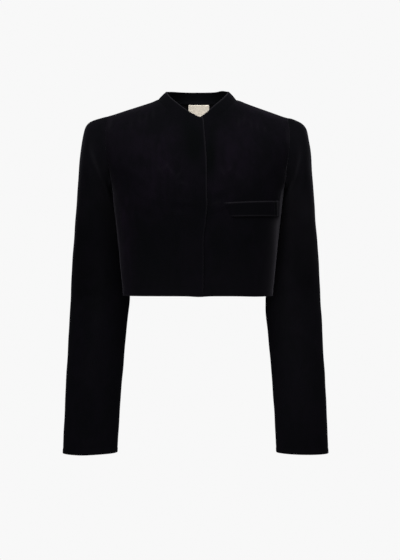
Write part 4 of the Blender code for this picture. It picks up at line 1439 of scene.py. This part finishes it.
# The collar's painted highlight is kept to its front half.
collar_ahead = smooth_step(*COLLAR_LIGHT_DEPTHS, -collar_cloth[..., 1])
sew_on(
    "collar_stand", collar_cloth, (velvet,),
    {"pile_tone_and_painted_light": COLLAR_PAINTED_SHADES, "painted_highlight": painted_fold_highlight(collar_cloth, COLLAR_PAINTED_HIGHLIGHTS) * collar_ahead},
    rests_on=["back_cloth"], folded=("last_row", "first_column", "last_column"), turned=True,
    tuck=collar_tuck * collar_fade,
)

# %% [markdown]
# ## The pocket welt
# A welt is a folded strip set over the mouth of a pocket, so its edges are round and it lies proud of
# the front. Its inner end sinks into the cloth, and stitches pull in a groove near the outer one. Its
# edges and a spot near its outer end carry painted highlights, and the groove has painted shade. It is
# made from the surface that it lies on, moved out by a hair, so it follows the front's creases.

# %% Grid of the welt
WELT_COLUMNS, WELT_LONG = 84, 110
WELT_ROWS = 14
WELT_ENDS = (44.0, 157.5)
WELT_TOP_ENDS = (-213.5, -206.0)
WELT_DEEP_ENDS = (26.5, 30.0)
WELT_SLANT = 12.0
welt_share = places(WELT_COLUMNS, WELT_LONG)[None, :]
welt_down = 1 - places(WELT_ROWS, WELT_DEEP_ENDS[0])[:, None]
welt_x = mix(WELT_ENDS[0] + WELT_SLANT * welt_down, WELT_ENDS[1], welt_share)
welt_height = mix(*WELT_TOP_ENDS, welt_share) - mix(*WELT_DEEP_ENDS, welt_share) * welt_down
welt_flat = body_points(welt_x, welt_height, FRONT)
print("welt grid:", welt_flat.shape[:2])

# %% Welt
ALL_EDGES = ("first_row", "last_row", "first_column", "last_column")
GAP = 0.4
WELT_CALM_IN = 6.0
WELT_THICK = 2.2
WELT_THIN = 0.3
WELT_TAPER = 16.0
WELT_SUNK = -0.7
WELT_TONE = -0.1
# Painted highlights along the welt's edges and near its outer end, and painted shade in the stitch
# groove.
WELT_PAINTED_HIGHLIGHTS = {"first_row": 0.25, "last_row": 0.25, "last_column": 0.12}
STITCH_IN, STITCH_WIDTH = 17.0, 2.4
STITCH_DEPTH = 0.9
STITCH_GROOVE_PAINTED_SHADE = -0.3
END_LIGHT_IN, END_LIGHT_WIDTH = 8.5, 2.8
WELT_END_PAINTED_HIGHLIGHT = 0.45
welt_distance = edge_distances(welt_flat)
welt_taper = smooth_step(0, WELT_TAPER, welt_distance["first_column"])
welt_groove = bell((welt_distance["last_column"] - STITCH_IN) / STITCH_WIDTH)
welt_end = bell((welt_distance["last_column"] - END_LIGHT_IN) / END_LIGHT_WIDTH)
welt_rise = cloth_rise(welt_x, welt_height, LEFT_FRONT_CREASES, LEFT_FRONT_SEED)
welt_rise = welt_rise * smooth_step(0, BORDER_CALM, WELT_ENDS[1] - WELT_CALM_IN - welt_x)
welt_rise = welt_rise - STITCH_DEPTH * welt_groove
welt_cloth = lifted(welt_flat, welt_rise + mix(WELT_SUNK, GAP + WELT_THICK, welt_taper))
welt_light = np.maximum(painted_fold_highlight(welt_cloth, WELT_PAINTED_HIGHLIGHTS) * welt_taper, WELT_END_PAINTED_HIGHLIGHT * welt_end)
sew_on(
    "pocket_welt", welt_cloth, (velvet,),
    {"pile_tone_and_painted_light": WELT_TONE + STITCH_GROOVE_PAINTED_SHADE * welt_groove, "painted_highlight": welt_light},
    rests_on=["front_left_cloth"], folded=ALL_EDGES, wall=WELT_THICK * mix(WELT_THIN, 1, welt_taper),
)

# %% [markdown]
# ## The label
# The label is a small cream strip, woven and plain, inside the back neck. It could be a flat card, but
# that would stand off the curved lining. So it is made from the back's surface too, moved in by the
# cloth's thickness and a hair.

# %% Label
LABEL_COLUMNS, LABEL_WIDE = 24, 44.4
LABEL_ROWS, LABEL_LONG = 20, 34.0
LABEL_THICK = 1.0
LABEL_TOP = 2.0
LABEL_OFF_CENTRE = 3.0
label_x = LABEL_OFF_CENTRE + LABEL_WIDE * (places(LABEL_COLUMNS, LABEL_WIDE)[None, :] - 0.5)
label_height = LABEL_TOP - LABEL_LONG * (1 - places(LABEL_ROWS, LABEL_LONG)[:, None])
label_grid = lifted(body_points(label_x, label_height, BACK), -(WALL + GAP), turned=True)
sew_on(
    "label", label_grid, (label_cloth,), {}, rests_on=["back_cloth"], slot="cream_label",
    folded=ALL_EDGES, wall=LABEL_THICK, turned=True,
)
